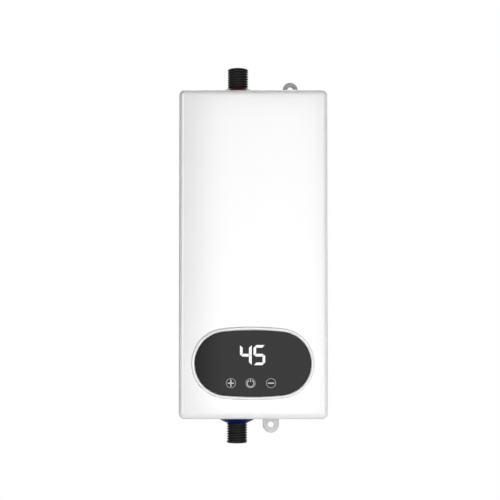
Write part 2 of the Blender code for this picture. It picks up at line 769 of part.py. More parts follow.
def standoff_places():
    """Return the x and z of the power board's standoffs."""
    left = POWER_BOARD_X + STANDOFF_INSET
    right = POWER_BOARD_X + POWER_BOARD_WIDTH - STANDOFF_INSET
    bottom = POWER_BOARD_BOTTOM + STANDOFF_INSET
    top = POWER_BOARD_BOTTOM + POWER_BOARD_HEIGHT - STANDOFF_INSET
    return [(x, z) for x in (left, right) for z in (bottom, top)]


def clamp_heights():
    """Return the z of each tank clamp."""
    return [TANK_BOTTOM_Z + TANK_LENGTH * share for share in CLAMP_SHARES]


def clamp_screw_x():
    """Return the x of the clamp screws."""
    return TANK_X + TANK_RADIUS + CLEARANCE + CLAMP_THICKNESS + CLAMP_FOOT / 2


def hook_x():
    """Return the x of the clamps' straight left leg, outside."""
    return TANK_X - TANK_RADIUS - CLEARANCE - CLAMP_THICKNESS


def make_back_tray():
    """The rear shell: floor, rim with sealing lip, ears, pipe cradles, saddles, bosses and hooks."""
    low = (-HALF_WIDTH, SEAM_Y, -HALF_HEIGHT)
    high = (HALF_WIDTH, 0.0, HALF_HEIGHT)
    mesh = open_box_mesh("back_tray", low, high, (0, -1, 0))
    tray = add_part("back_tray", mesh, (0.74, 0.75, 0.76), 0.45)
    round_edges(tray, CORNER_RADIUS, CORNER_SEGMENTS, "WEIGHT")
    round_edges(tray, max(TRAY_EDGE_ROUND, TRAY_WALL + CLEARANCE), ROUND_SEGMENTS)
    thicken(tray, TRAY_WALL)

    lip_inset = COVER_WALL + CLEARANCE
    lip_front = SEAM_Y - LIP_REACH
    low = (lip_inset - HALF_WIDTH, lip_front, lip_inset - HALF_HEIGHT)
    high = (HALF_WIDTH - lip_inset, FLOOR_Y + FUSE_DEPTH, HALF_HEIGHT - lip_inset)
    join_shape(tray, "lip", sleeve_mesh("lip", low, high, CORNER_RADIUS - lip_inset, LIP_WALL))

    ears = [(UPPER_EAR_X, UPPER_EAR_RADIUS, UPPER_EAR_REACH, 1)]
    ears.append((LOWER_EAR_X, LOWER_EAR_RADIUS, LOWER_EAR_REACH, -1))
    ear_y = -EAR_SETBACK - EAR_THICKNESS / 2
    for ear_x, radius, reach, side in ears:
        join_shape(tray, "ear", ear_mesh(radius, reach, side), (ear_x, ear_y, side * HALF_HEIGHT), FACE_FRONT)

    for port_x, side in ((OUTLET_X, 1), (INLET_X, -1)):
        tab_front = PORT_Y + TRAY_TAB_SETBACK
        tab = cradle_mesh(PORT_HOLE_RADIUS, PORT_HOLE_RADIUS - CLEARANCE, tab_front, TRAY_TAB_WALL)
        join_shape(tray, "port_tab", tab, (port_x, PORT_Y, side * (HALF_HEIGHT - TRAY_TAB_WALL / 2)))
        collar_z = HALF_HEIGHT - SPIGOT_COLLAR_INSET
        step = (SPIGOT_COLLAR_WIDTH + SADDLE_THICKNESS) / 2 + CLEARANCE
        notch = SPIGOT_RADIUS + CLEARANCE
        for offset in (-step, step):
            cradle = cradle_mesh(notch, SPIGOT_COLLAR_RADIUS, PORT_Y + CLEARANCE, SADDLE_THICKNESS)
            join_shape(tray, "cradle", cradle, (port_x, PORT_Y, side * (collar_z + offset)))

    half_width = TANK_RADIUS - SADDLE_THICKNESS
    for height in clamp_heights():
        saddle = cradle_mesh(TANK_RADIUS + CLEARANCE, half_width, PORT_Y + SADDLE_SETBACK, SADDLE_THICKNESS)
        join_shape(tray, "saddle", saddle, (TANK_X, PORT_Y, height))
        make_clamp_seat(tray, height)

    pin_front = POWER_BOARD_REAR_Y - STANDOFF_PIN_REACH
    for x, z in standoff_places():
        floor_boss(tray, "standoff", x, z, STANDOFF_RADIUS, POWER_BOARD_REAR_Y + CLEARANCE)
        floor_boss(tray, "standoff_pin", x, z, STANDOFF_PIN_RADIUS, pin_front, PIN_STEPS)

    sink_y = -(SCREW_HEAD_SINK + SCREW_HEAD_HEIGHT)
    bore = SCREW_SHANK_RADIUS + CLEARANCE
    for side_x in (-1, 1):
        for side_z in (-1, 1):
            x = side_x * PILLAR_X
            z = side_z * PILLAR_Z
            floor_boss(tray, "screw_boss", x, z, SCREW_BOSS_RADIUS, SCREW_BOSS_Y)
            floor_bore(tray, "screw_sink", x, z, SCREW_HEAD_RADIUS + CLEARANCE, OVERRUN, sink_y)
            floor_bore(tray, "screw_bore", x, z, bore, OVERRUN, SCREW_BOSS_Y - OVERRUN, PIN_STEPS)

    web_rear = -(GROMMET_SINK + GROMMET_FLANGE + CLEARANCE)
    web_front = web_rear - GROMMET_WEB
    sink_radius = GROMMET_FLANGE_RADIUS + CLEARANCE
    boss_radius = sink_radius + GROMMET_BOSS_WALL
    floor_boss(tray, "grommet_boss", GROMMET_X, GROMMET_Z, boss_radius, web_front, FINE_STEPS)
    floor_bore(tray, "grommet_sink", GROMMET_X, GROMMET_Z, sink_radius, OVERRUN, web_rear, FINE_STEPS)
    floor_bore(tray, "grommet_hole", GROMMET_X, GROMMET_Z, GROMMET_NECK_RADIUS + CLEARANCE, OVERRUN,
               web_front - OVERRUN, FINE_STEPS)
    return tray


def make_clamp_seat(tray, height):
    """Raise a clamp's screw boss on one side of the tank and its hook on the other."""
    boss_front = CLAMP_FOOT_Y + CLEARANCE
    floor_boss(tray, "clamp_boss", clamp_screw_x(), height, STANDOFF_RADIUS, boss_front)
    floor_bore(tray, "clamp_bore", clamp_screw_x(), height, SCREW_SHANK_RADIUS + CLEARANCE,
               boss_front + CLAMP_SCREW_LENGTH, boss_front - OVERRUN, PIN_STEPS)
    toe_y = CLAMP_FOOT_Y + CLEARANCE
    roof_y = toe_y - CLAMP_THICKNESS - 2 * CLEARANCE
    right = hook_x() - CLEARANCE
    left = right - HOOK_LENGTH - HOOK_THICKNESS
    outline = [
        (left, FLOOR_Y + FUSE_DEPTH),
        (left, roof_y - HOOK_THICKNESS),
        (right, roof_y - HOOK_THICKNESS),
        (right, roof_y),
        (left + HOOK_THICKNESS, roof_y),
        (left + HOOK_THICKNESS, toe_y),
        (right, toe_y),
        (right, FLOOR_Y + FUSE_DEPTH),
    ]
    hook = plate_mesh("hook", [outline], CLAMP_WIDTH + 2 * HOOK_THICKNESS)
    join_shape(tray, "hook", hook, (0, 0, height))


def make_gasket():
    """The flat seal that fills the parting line outside the tray's lip."""
    outlines = []
    for inset in (GASKET_INSET, COVER_WALL):
        corner = CORNER_RADIUS - inset
        outlines.append(rounded_rectangle(HALF_WIDTH - inset, HALF_HEIGHT - inset, corner, CORNER_SEGMENTS))
    mesh = plate_mesh("cover_gasket", outlines, GASKET_THICKNESS)
    centre_y = SEAM_Y - CLEARANCE - GASKET_THICKNESS / 2
    gasket = add_part("cover_gasket", mesh, (0.10, 0.10, 0.11), 0.80, 0.0, (0, centre_y, 0), FACE_FRONT)
    for port_x, side in ((OUTLET_X, 1), (INLET_X, -1)):
        width = 2 * PORT_HOLE_RADIUS + CLEARANCE
        notch = box_mesh("gasket_notch", (width, GASKET_THICKNESS + 2 * OVERRUN, COVER_WALL))
        notch_z = HALF_HEIGHT - TRAY_TAB_WALL - CLEARANCE + COVER_WALL / 2
        cut_shape(gasket, "gasket_notch", notch, (port_x, centre_y, side * notch_z))
    return gasket


def screw_mesh(name, length, head_radius, head_height):
    """Return a pan-head screw along Z: the head's underside is at the origin, the shank points down."""
    profile = [
        (0.0, head_height),
        (head_radius - head_height / 2, head_height),
        (head_radius, head_height / 2),
        (head_radius, 0.0),
        (SCREW_SHANK_RADIUS, 0.0),
        (SCREW_SHANK_RADIUS, -length),
        (0.0, -length),
    ]
    return turned_mesh(name, profile, PIN_STEPS)


def make_cover_screws():
    """Four screws driven from the rear through the tray into the cover's pillars."""
    number = 1
    for side_x in (-1, 1):
        for side_z in (-1, 1):
            name = "cover_screw_" + str(number)
            mesh = screw_mesh(name, SCREW_LENGTH, SCREW_HEAD_RADIUS, SCREW_HEAD_HEIGHT - CLEARANCE)
            place = (side_x * PILLAR_X, -(SCREW_HEAD_SINK + SCREW_HEAD_HEIGHT - CLEARANCE), side_z * PILLAR_Z)
            add_part(name, mesh, (0.62, 0.62, 0.64), 0.30, 1.0, place, (-math.pi / 2, 0, 0))
            number += 1


def make_grommet():
    """The rubber grommet in the tray, seated round the web of its boss."""
    web_rear = GROMMET_SINK + GROMMET_FLANGE
    web_front = web_rear + GROMMET_WEB + 2 * CLEARANCE
    inner_radius = GROMMET_NECK_RADIUS + (GROMMET_FLANGE_RADIUS - GROMMET_NECK_RADIUS) / 2
    profile = [
        (GROMMET_FLANGE_RADIUS - GROMMET_SINK, -GROMMET_SINK),
        (GROMMET_FLANGE_RADIUS, -2 * GROMMET_SINK),
        (GROMMET_FLANGE_RADIUS, -web_rear),
        (GROMMET_NECK_RADIUS, -web_rear),
        (GROMMET_NECK_RADIUS, -web_front),
        (inner_radius, -web_front),
        (GROMMET_NECK_RADIUS, -web_front - GROMMET_FLANGE),
        (GROMMET_BORE_RADIUS, -web_front - GROMMET_FLANGE),
        (GROMMET_BORE_RADIUS, -GROMMET_SINK),
    ]
    mesh = turned_mesh("cable_grommet", profile, FINE_STEPS, closed=True)
    place = (GROMMET_X, 0.0, GROMMET_Z)
    add_part("cable_grommet", mesh, (0.03, 0.03, 0.03), 0.75, 0.0, place, (-math.pi / 2, 0, 0))


def bezel_post_places():
    """Return the x and z of the bezel's rear posts, on the crowns of its flange."""
    outline = lens_outline(RING_WIDTH / 2)
    top = min(outline, key=lambda point: (abs(point[0] - BEZEL_POST_X) + (point[1] < 0)))
    return [(side_x * top[0], LENS_CENTRE_Z + side_z * top[1]) for side_x in (-1, 1) for side_z in (-1, 1)]


def make_bezel():
    """The raised white ring: an inner ledge carries the lens, an outer flange holds it behind the cover."""
    front = RING_PROUD
    cover_inside = -COVER_WALL - CLEARANCE
    rear = cover_inside - BEZEL_FLANGE_THICKNESS
    ledge = LENS_PROUD - LENS_THICKNESS - CLEARANCE
    inner = RING_WIDTH
    quarter = math.pi / 2
    section = arc_points((inner - RING_ROUND, front - RING_ROUND), RING_ROUND, 0.0, quarter, CROWN_SEGMENTS)
    section += arc_points((RING_ROUND, front - RING_ROUND), RING_ROUND, quarter, 2 * quarter, CROWN_SEGMENTS)
    section += [
        (0.0, cover_inside),
        (-BEZEL_FLANGE_WIDTH, cover_inside),
        (-BEZEL_FLANGE_WIDTH, rear),
        (inner + BEZEL_LEDGE_WIDTH, rear),
        (inner + BEZEL_LEDGE_WIDTH, ledge),
        (inner, ledge),
    ]
    mesh = ring_mesh("display_bezel", lens_outline(RING_WIDTH + CLEARANCE), section)
    place = (0, -BODY_DEPTH, LENS_CENTRE_Z)
    bezel = add_part("display_bezel", mesh, (0.92, 0.92, 0.93), 0.18, 0.0, place, FACE_FRONT)
    rear_y = -BODY_DEPTH - rear
    post_rear = DISPLAY_BOARD_Y - CLEARANCE
    for x, z in bezel_post_places():
        length = post_rear - rear_y + FUSE_DEPTH
        post = cylinder_mesh("post", BEZEL_POST_RADIUS, length, PIN_STEPS)
        join_shape(bezel, "post", post, (x, post_rear - length / 2, z), FACE_FRONT)
        length = DISPLAY_BOARD_REAR_Y + BEZEL_PIN_REACH - post_rear + FUSE_DEPTH
        pin = cylinder_mesh("pin", BEZEL_PIN_RADIUS, length, PIN_STEPS)
        join_shape(bezel, "pin", pin, (x, post_rear - FUSE_DEPTH + length / 2, z), FACE_FRONT)
    return bezel


def make_lens():
    """The smoked window over the digits and touch keys."""
    mesh = plate_mesh("display_lens", [lens_outline()], LENS_THICKNESS)
    place = (0, LENS_FRONT_Y + LENS_THICKNESS / 2, LENS_CENTRE_Z)
    lens = add_part("display_lens", mesh, (0.05, 0.05, 0.05), 0.12, 0.0, place, FACE_FRONT)
    round_edges(lens, LENS_EDGE_ROUND, 1)


def key_places():
    """Return the x and z of the plus, power and minus keys."""
    return [(KEY_CENTRE_X + index * KEY_PITCH, LENS_CENTRE_Z - KEY_DROP) for index in (-1, 0, 1)]


def make_display():
    """The display board on the bezel's posts, its digit module and the springs behind the keys."""
    half_height = LENS_HALF_HEIGHT + RING_WIDTH + DISPLAY_BOARD_MARGIN / 2
    outline = rounded_rectangle(DISPLAY_BOARD_HALF_WIDTH, half_height, BOARD_CORNER, ROUND_SEGMENTS)
    holes = []
    for x, z in bezel_post_places():
        hole = arc_points((x, z - LENS_CENTRE_Z), BEZEL_PIN_RADIUS + CLEARANCE, 0.0, 2 * math.pi, PIN_STEPS)
        holes.append(hole[:-1])
    mesh = plate_mesh("display_board", [outline] + holes, BOARD_THICKNESS)
    place = (0, DISPLAY_BOARD_Y + BOARD_THICKNESS / 2, LENS_CENTRE_Z)
    add_part("display_board", mesh, (0.02, 0.10, 0.04), 0.50, 0.0, place, FACE_FRONT)

    depth = DISPLAY_BOARD_Y - LENS_REAR_Y - 2 * CLEARANCE
    mesh = box_mesh("led_display", (DIGIT_MODULE_WIDTH, depth, DIGIT_MODULE_HEIGHT))
    place = (DIGITS_X, DISPLAY_BOARD_Y - CLEARANCE - depth / 2, LENS_CENTRE_Z + DIGITS_Z)
    module = add_part("led_display", mesh, (0.04, 0.04, 0.04), 0.40, 0.0, place)
    round_edges(module, DIGIT_MODULE_ROUND, 1)

    number = 1
    length = depth - 2 * SPRING_WIRE_RADIUS
    for x, z in key_places():
        centre_y = DISPLAY_BOARD_Y - CLEARANCE - SPRING_WIRE_RADIUS
        route = []
        for index in range(SPRING_TURNS * SPRING_STEPS + 1):
            turn = 2 * math.pi * index / SPRING_STEPS
            rise = length * index / (SPRING_TURNS * SPRING_STEPS)
            side = SPRING_RADIUS * math.cos(turn)
            height = SPRING_RADIUS * math.sin(turn)
            route.append((x + side, centre_y - rise, z + height))
        add_tube("touch_spring_" + str(number), route, SPRING_WIRE_RADIUS, (0.70, 0.70, 0.70), 0.30, 1.0, 0)
        number += 1
    gap = length / SPRING_TURNS - 2 * SPRING_WIRE_RADIUS
    print("touch spring: least gap between turns", round(gap * 1000, 3), "mm")


def spigot_profile(inner_z, nose):
    """Return the profile of a spigot that points up, from its threaded mouth down to its inner end."""
    collar_z = HALF_HEIGHT - SPIGOT_COLLAR_INSET + SPIGOT_COLLAR_WIDTH / 2
    profile = [
        (THREAD_RADIUS - THREAD_CHAMFER, MOUTH_Z),
        (THREAD_RADIUS, MOUTH_Z - THREAD_CHAMFER),
        (THREAD_RADIUS, HALF_HEIGHT - COVER_WALL),
        (SPIGOT_RADIUS, HALF_HEIGHT - COVER_WALL),
        (SPIGOT_RADIUS, collar_z),
        (SPIGOT_COLLAR_RADIUS, collar_z),
        (SPIGOT_COLLAR_RADIUS, collar_z - SPIGOT_COLLAR_WIDTH),
        (SPIGOT_RADIUS, collar_z - SPIGOT_COLLAR_WIDTH),
        (SPIGOT_RADIUS, inner_z),
    ]
    return profile + nose


def make_spigots():
    """The threaded inlet with its O-ring nose, and the outlet with its socket over the tank's neck."""
    groove_top = SPIGOT_INNER_Z - RING_GROOVE_OFFSET
    groove_radius = NOSE_RADIUS - RING_GROOVE_DEPTH
    bore_z = MOUTH_Z - PORT_BORE_DEPTH
    nose_z = SPIGOT_INNER_Z - NOSE_LENGTH
    counterbore = STRAINER_FLANGE_RADIUS + CLEARANCE
    counter_z = MOUTH_Z - STRAINER_FLANGE - STRAINER_SINK - CLEARANCE
    nose = [
        (NOSE_RADIUS, SPIGOT_INNER_Z),
        (NOSE_RADIUS, groove_top),
        (groove_radius, groove_top),
        (groove_radius, groove_top - RING_GROOVE_WIDTH),
        (NOSE_RADIUS, groove_top - RING_GROOVE_WIDTH),
        (NOSE_RADIUS, nose_z),
        (WATERWAY_RADIUS, nose_z),
        (WATERWAY_RADIUS, bore_z),
        (PORT_BORE_RADIUS, bore_z),
        (PORT_BORE_RADIUS, counter_z),
        (counterbore, counter_z),
        (counterbore, MOUTH_Z),
    ]
    mesh = turned_mesh("inlet_spigot", spigot_profile(SPIGOT_INNER_Z, nose), ROUND_STEPS, closed=True)
    add_part("inlet_spigot", mesh, (0.022, 0.022, 0.023), 0.45, 0.0, (INLET_X, PORT_Y, 0), (math.pi, 0, 0))

    inner_z = UPPER_FLANGE_Z + CLEARANCE
    socket_z = UPPER_FLANGE_Z + CAP_NECK + CLEARANCE
    nose = [
        (SOCKET_RADIUS, inner_z),
        (SOCKET_RADIUS, socket_z),
        (WATERWAY_RADIUS, socket_z),
        (WATERWAY_RADIUS, bore_z),
        (PORT_BORE_RADIUS, bore_z),
        (PORT_BORE_RADIUS, MOUTH_Z),
    ]
    mesh = turned_mesh("outlet_spigot", spigot_profile(inner_z, nose), ROUND_STEPS, closed=True)
    spigot = add_part("outlet_spigot", mesh, (0.022, 0.022, 0.023), 0.45, 0.0, (OUTLET_X, PORT_Y, 0))
    probe_hole = cylinder_mesh("probe_hole", PROBE_TIP_RADIUS + CLEARANCE, SPIGOT_RADIUS, PIN_STEPS)
    place = (OUTLET_X + SPIGOT_RADIUS / 2 + OVERRUN + CLEARANCE, PORT_Y, OUTLET_PROBE_Z)
    cut_shape(spigot, "probe_hole", probe_hole, place, (0, math.pi / 2, 0))


def collar_mesh(name):
    """Return a domed trim collar round a spigot, standing on the body's end and pointing up."""
    bore = THREAD_RADIUS + CLEARANCE
    base = HALF_HEIGHT + CLEARANCE
    centre = base + COLLAR_HEIGHT - math.sqrt(COLLAR_DOME_RADIUS ** 2 - bore ** 2)
    start = math.acos(bore / COLLAR_DOME_RADIUS)
    end = math.acos(COLLAR_BASE_RADIUS / COLLAR_DOME_RADIUS)
    dome = arc_points((0.0, centre), COLLAR_DOME_RADIUS, start, end, CORNER_SEGMENTS)
    neck_end = HALF_HEIGHT - COLLAR_NECK_WALL_OVERLAP
    neck = PORT_HOLE_RADIUS - CLEARANCE
    profile = dome + [(COLLAR_BASE_RADIUS, base), (neck, base), (neck, neck_end), (bore, neck_end)]
    return turned_mesh(name, profile, ROUND_STEPS, closed=True)


def make_collars():
    """The dark blue cold collar and the dark red hot collar."""
    mesh = collar_mesh("inlet_collar")
    add_part("inlet_collar", mesh, (0.004, 0.010, 0.110), 0.35, 0.0, (INLET_X, PORT_Y, 0), (math.pi, 0, 0))
    mesh = collar_mesh("outlet_collar")
    add_part("outlet_collar", mesh, (0.090, 0.008, 0.010), 0.35, 0.0, (OUTLET_X, PORT_Y, 0))


def make_strainer():
    """The slotted strainer cup in the cold mouth, its flange in the mouth's counterbore."""
    cup = PORT_BORE_RADIUS - CLEARANCE
    inside = cup - STRAINER_WALL
    tip = cup - STRAINER_TAPER
    profile = [
        (0.0, STRAINER_LENGTH),
        (tip, STRAINER_LENGTH),
        (cup, STRAINER_FLANGE + STRAINER_TAPER),
        (cup, STRAINER_FLANGE),
        (STRAINER_FLANGE_RADIUS, STRAINER_FLANGE),
        (STRAINER_FLANGE_RADIUS, 0.0),
        (inside, 0.0),
        (inside, STRAINER_FLANGE + STRAINER_TAPER),
        (tip - STRAINER_WALL, STRAINER_LENGTH - STRAINER_WALL),
        (0.0, STRAINER_LENGTH - STRAINER_WALL),
    ]
    mesh = turned_mesh("inlet_strainer", profile, FINE_STEPS)
    place = (INLET_X, PORT_Y, STRAINER_SINK - MOUTH_Z)
    strainer = add_part("inlet_strainer", mesh, (0.80, 0.80, 0.80), 0.55, 0.0, place)
    slot_length = STRAINER_LENGTH - STRAINER_FLANGE - 2 * STRAINER_SLOT_END
    centre_z = STRAINER_FLANGE + STRAINER_SLOT_END + slot_length / 2
    for index in range(STRAINER_SLOTS // 2):
        slot = box_mesh("strainer_slot", (2 * cup + OVERRUN, STRAINER_SLOT_WIDTH, slot_length))
        turn = 2 * math.pi * (index + 0.5) / STRAINER_SLOTS
        cut_shape(strainer, "strainer_slot", slot, (place[0], place[1], place[2] + centre_z), (0, 0, turn))


def torus_mesh(name, major, minor):
    """Return an O-ring lying in the XY plane."""
    section = arc_points((major, 0.0), minor, math.pi / 2, -3 * math.pi / 2, SEAL_SIDES)[:-1]
    return turned_mesh(name, section, ROUND_STEPS, closed=True)


def make_seals():
    """The O-rings of the inlet joint, the outlet joint and the tank's two caps."""
    room = RING_GROOVE_DEPTH + CLEARANCE
    minor = room / 2 - CLEARANCE / 2
    major = NOSE_RADIUS - RING_GROOVE_DEPTH + room / 2
    groove_centre = RING_GROOVE_OFFSET + RING_GROOVE_WIDTH / 2
    inlet_z = groove_centre - SPIGOT_INNER_Z
    outlet_z = UPPER_FLANGE_Z + CAP_NECK - groove_centre
    for name, x, z in (("inlet_seal", INLET_X, inlet_z), ("outlet_seal", OUTLET_X, outlet_z)):
        add_part(name, torus_mesh(name, major, minor), (0.02, 0.02, 0.02), 0.60, 0.0, (x, PORT_Y, z))
    room = CAP_SEAL_DEPTH + CLEARANCE
    minor = room / 2 - CLEARANCE / 2
    major = PLUG_RADIUS - CAP_SEAL_DEPTH + room / 2
    lower_z = LOWER_FLANGE_Z + CAP_FLANGE + CAP_PLUG / 2
    upper_z = UPPER_FLANGE_Z - CAP_FLANGE - CAP_PLUG / 2
    for name, z in (("lower_cap_seal", lower_z), ("upper_cap_seal", upper_z)):
        add_part(name, torus_mesh(name, major, minor), (0.02, 0.02, 0.02), 0.60, 0.0, (TANK_X, PORT_Y, z))


def hall_face_x():
    """Return the x of the flow sensor's flat face under the hall sensor."""
    return INLET_X + SENSOR_RADIUS


def make_flow_sensor():
    """The flow sensor's body: a socket for the spigot's nose, the turbine chamber, a socket for the tank."""
    profile = [
        (SOCKET_RADIUS, SENSOR_TOP_Z),
        (SENSOR_RADIUS, SENSOR_TOP_Z),
        (SENSOR_RADIUS, SENSOR_BOTTOM_Z),
        (SOCKET_RADIUS, SENSOR_BOTTOM_Z),
        (SOCKET_RADIUS, CHAMBER_TOP_Z),
        (WATERWAY_RADIUS, CHAMBER_TOP_Z),
        (WATERWAY_RADIUS, SENSOR_SOCKET_Z),
        (SOCKET_RADIUS, SENSOR_SOCKET_Z),
    ]
    mesh = turned_mesh("flow_sensor_body", profile, ROUND_STEPS, closed=True)
    body = add_part("flow_sensor_body", mesh, (0.08, 0.08, 0.09), 0.50, 0.0, (INLET_X, PORT_Y, 0))

    half_room = HALL_SIZE / 2 + CLEARANCE
    half_outer = half_room + HALL_POCKET_WALL
    face_x = hall_face_x()
    depth = HALL_THICKNESS + 2 * CLEARANCE
    low = (INLET_X + SOCKET_RADIUS + OVERRUN, PORT_Y - half_outer, TURBINE_Z - half_outer)
    high = (face_x + depth, PORT_Y + half_outer, TURBINE_Z + half_outer)
    join_shape(body, "hall_housing", span_mesh("hall_housing", low, high))
    low = (face_x, PORT_Y - half_room, TURBINE_Z - half_room)
    high = (face_x + depth + OVERRUN, PORT_Y + half_room, TURBINE_Z + half_room)
    cut_shape(body, "hall_pocket", span_mesh("hall_pocket", low, high))
    mesh = box_mesh("hall_sensor", (HALL_THICKNESS, HALL_SIZE, HALL_SIZE))
    place = (face_x + CLEARANCE + HALL_THICKNESS / 2, PORT_Y, TURBINE_Z)
    add_part("hall_sensor", mesh, (0.03, 0.03, 0.03), 0.40, 0.0, place)

    probe_hole = cylinder_mesh("probe_hole", PROBE_TIP_RADIUS + CLEARANCE, SENSOR_RADIUS, PIN_STEPS)
    place = (INLET_X - SENSOR_RADIUS / 2 - OVERRUN - CLEARANCE, PORT_Y, INLET_PROBE_Z)
    cut_shape(body, "probe_hole", probe_hole, place, (0, math.pi / 2, 0))


def spider_profile():
    """Return the hub profile of a bearing spider, its bore round the axle."""
    bore = AXLE_RADIUS + RUNNING_CLEARANCE
    half = SPIDER_HEIGHT / 2
    return [(SPIDER_HUB_RADIUS, half), (SPIDER_HUB_RADIUS, -half), (bore, -half), (bore, half)]


def add_spider(name, z):
    """Add one bearing spider of the turbine: a rim, straight vanes and a hub bored for the axle."""
    half = SPIDER_HEIGHT / 2
    rim = [
        (SPIDER_RADIUS, half),
        (SPIDER_RADIUS, -half),
        (SPIDER_RADIUS - SPIDER_WALL, -half),
        (SPIDER_RADIUS - SPIDER_WALL, half),
    ]
    mesh = turned_mesh(name, rim, FINE_STEPS, closed=True)
    place = (INLET_X, PORT_Y, z)
    spider = add_part(name, mesh, (0.75, 0.75, 0.72), 0.50, 0.0, place)
    vane_root = SPIDER_HUB_RADIUS - FUSE_DEPTH
    vane_length = SPIDER_RADIUS - SPIDER_WALL / 2 - vane_root
    for index in range(SPIDER_VANES):
        turn = 2 * math.pi * index / SPIDER_VANES
        vane = box_mesh("vane", (vane_length, SPIDER_VANE_THICKNESS, SPIDER_HEIGHT - 2 * FUSE_DEPTH))
        vane.transform(Matrix.Translation((vane_root + vane_length / 2, 0, 0)))
        join_shape(spider, "vane", vane, place, (0, 0, turn))
    join_shape(spider, "hub", turned_mesh("hub", spider_profile(), PIN_STEPS, closed=True), place)


def blade_mesh():
    """Return the rotor's blades: helical sheets with a wall, set round the hub."""
    root = ROTOR_HUB_RADIUS - FUSE_DEPTH
    half = ROTOR_BLADE_LENGTH / 2
    line = bpy.data.meshes.new("blade")
    line.from_pydata([(root, 0.0, -half), (ROTOR_TIP_RADIUS, 0.0, -half)], [(0, 1)], [])
    blade = bpy.data.objects.new("blade", line)
    CUTTERS.objects.link(blade)
    screw = blade.modifiers.new("Twist", "SCREW")
    screw.axis = "Z"
    screw.angle = math.radians(ROTOR_BLADE_TWIST_DEG)
    screw.screw_offset = ROTOR_BLADE_LENGTH
    screw.steps = ROUND_SEGMENTS + 1
    screw.render_steps = screw.steps
    screw.use_merge_vertices = False
    thicken(blade, ROTOR_BLADE_THICKNESS)
    single = tidy_mesh(evaluated_mesh(blade), recalculate=True)
    bpy.data.objects.remove(blade)
    work = bmesh.new()
    for index in range(ROTOR_BLADES):
        turned = single.copy()
        turned.transform(Matrix.Rotation(2 * math.pi * index / ROTOR_BLADES, 4, "Z"))
        work.from_mesh(turned)
    mesh = bpy.data.meshes.new("blades")
    work.to_mesh(mesh)
    work.free()
    return mesh


def make_turbine():
    """The two spiders, the fixed axle between them and the helical rotor that turns on it."""
    guide_z = CHAMBER_BOTTOM_Z + SPIDER_HEIGHT / 2 + CLEARANCE
    bearing_z = CHAMBER_TOP_Z - SPIDER_HEIGHT / 2 - CLEARANCE
    add_spider("flow_guide", guide_z)
    add_spider("bearing_spider", bearing_z)

    bore = AXLE_RADIUS + RUNNING_CLEARANCE
    half = ROTOR_LENGTH / 2
    nose = ROTOR_HUB_RADIUS - SPIDER_WALL
    profile = [
        (nose, half),
        (ROTOR_HUB_RADIUS, half - SPIDER_WALL),
        (ROTOR_HUB_RADIUS, SPIDER_WALL - half),
        (nose, -half),
        (bore, -half),
        (bore, half),
    ]
    mesh = turned_mesh("turbine_rotor", profile, SMALL_STEPS, closed=True)
    place = (INLET_X, PORT_Y, TURBINE_Z)
    rotor = add_part("turbine_rotor", mesh, (0.85, 0.85, 0.80), 0.45, 0.0, place)
    join_shape(rotor, "blades", blade_mesh(), place)

    length = bearing_z - guide_z + 2 * AXLE_SEAT - SPIDER_HEIGHT / 2
    mesh = cylinder_mesh("turbine_axle", AXLE_RADIUS, length, PIN_STEPS)
    place = (INLET_X, PORT_Y, (guide_z + bearing_z) / 2)
    add_part("turbine_axle", mesh, (0.75, 0.75, 0.77), 0.20, 1.0, place)


def cap_body_profile():
    """Return the profile of a cap's flange and grooved plug, the flange's face at z = 0."""
    seal_top = -CAP_FLANGE - CAP_PLUG / 2 + RING_GROOVE_WIDTH / 2
    seal_floor = PLUG_RADIUS - CAP_SEAL_DEPTH
    return [
        (0.0, 0.0),
        (TANK_RADIUS, 0.0),
        (TANK_RADIUS, -CAP_FLANGE),
        (PLUG_RADIUS, -CAP_FLANGE),
        (PLUG_RADIUS, seal_top),
        (seal_floor, seal_top),
        (seal_floor, seal_top - RING_GROOVE_WIDTH),
        (PLUG_RADIUS, seal_top - RING_GROOVE_WIDTH),
        (PLUG_RADIUS, -CAP_FLANGE - CAP_PLUG),
        (0.0, -CAP_FLANGE - CAP_PLUG),
    ]


def cap_neck_profile(grooved):
    """Return the profile of a cap's neck, with or without its O-ring groove."""
    groove_top = CAP_NECK - RING_GROOVE_OFFSET
    groove_radius = NOSE_RADIUS - RING_GROOVE_DEPTH
    groove = [
        (NOSE_RADIUS, groove_top),
        (groove_radius, groove_top),
        (groove_radius, groove_top - RING_GROOVE_WIDTH),
        (NOSE_RADIUS, groove_top - RING_GROOVE_WIDTH),
    ]
    outside = [(0.0, CAP_NECK), (NOSE_RADIUS, CAP_NECK)] + (groove if grooved else [])
    return outside + [(NOSE_RADIUS, -CAP_FLANGE / 2), (0.0, -CAP_FLANGE / 2)]


def make_cap(name, flange_z, port_x, side, grooved):
    """Add a cap of the tank; its neck lines up with the port, a little beside the tank's axis."""
    turn = (0, 0, 0) if side > 0 else (math.pi, 0, 0)
    mesh = turned_mesh(name, cap_body_profile(), ROUND_STEPS)
    cap = add_part(name, mesh, (0.06, 0.06, 0.065), 0.50, 0.0, (TANK_X, PORT_Y, flange_z), turn)
    neck = turned_mesh("neck", cap_neck_profile(grooved), ROUND_STEPS)
    join_shape(cap, "neck", neck, (port_x, PORT_Y, flange_z), turn)
    plug_end = -CAP_FLANGE - CAP_PLUG
    bore = [
        (0.0, CAP_NECK + OVERRUN),
        (WATERWAY_RADIUS, CAP_NECK + OVERRUN),
        (WATERWAY_RADIUS, -CAP_FLANGE),
        (WATERWAY_RADIUS + CAP_FLANGE, plug_end - OVERRUN),
        (0.0, plug_end - OVERRUN),
    ]
    cut_shape(cap, "waterway", turned_mesh("waterway", bore, FINE_STEPS), (port_x, PORT_Y, flange_z), turn)
    return cap


def element_legs():
    """Return the x of the heating element's two legs, left and right of the tank's axis."""
    return (TANK_X - ELEMENT_COIL_RADIUS, TANK_X + ELEMENT_COIL_RADIUS)


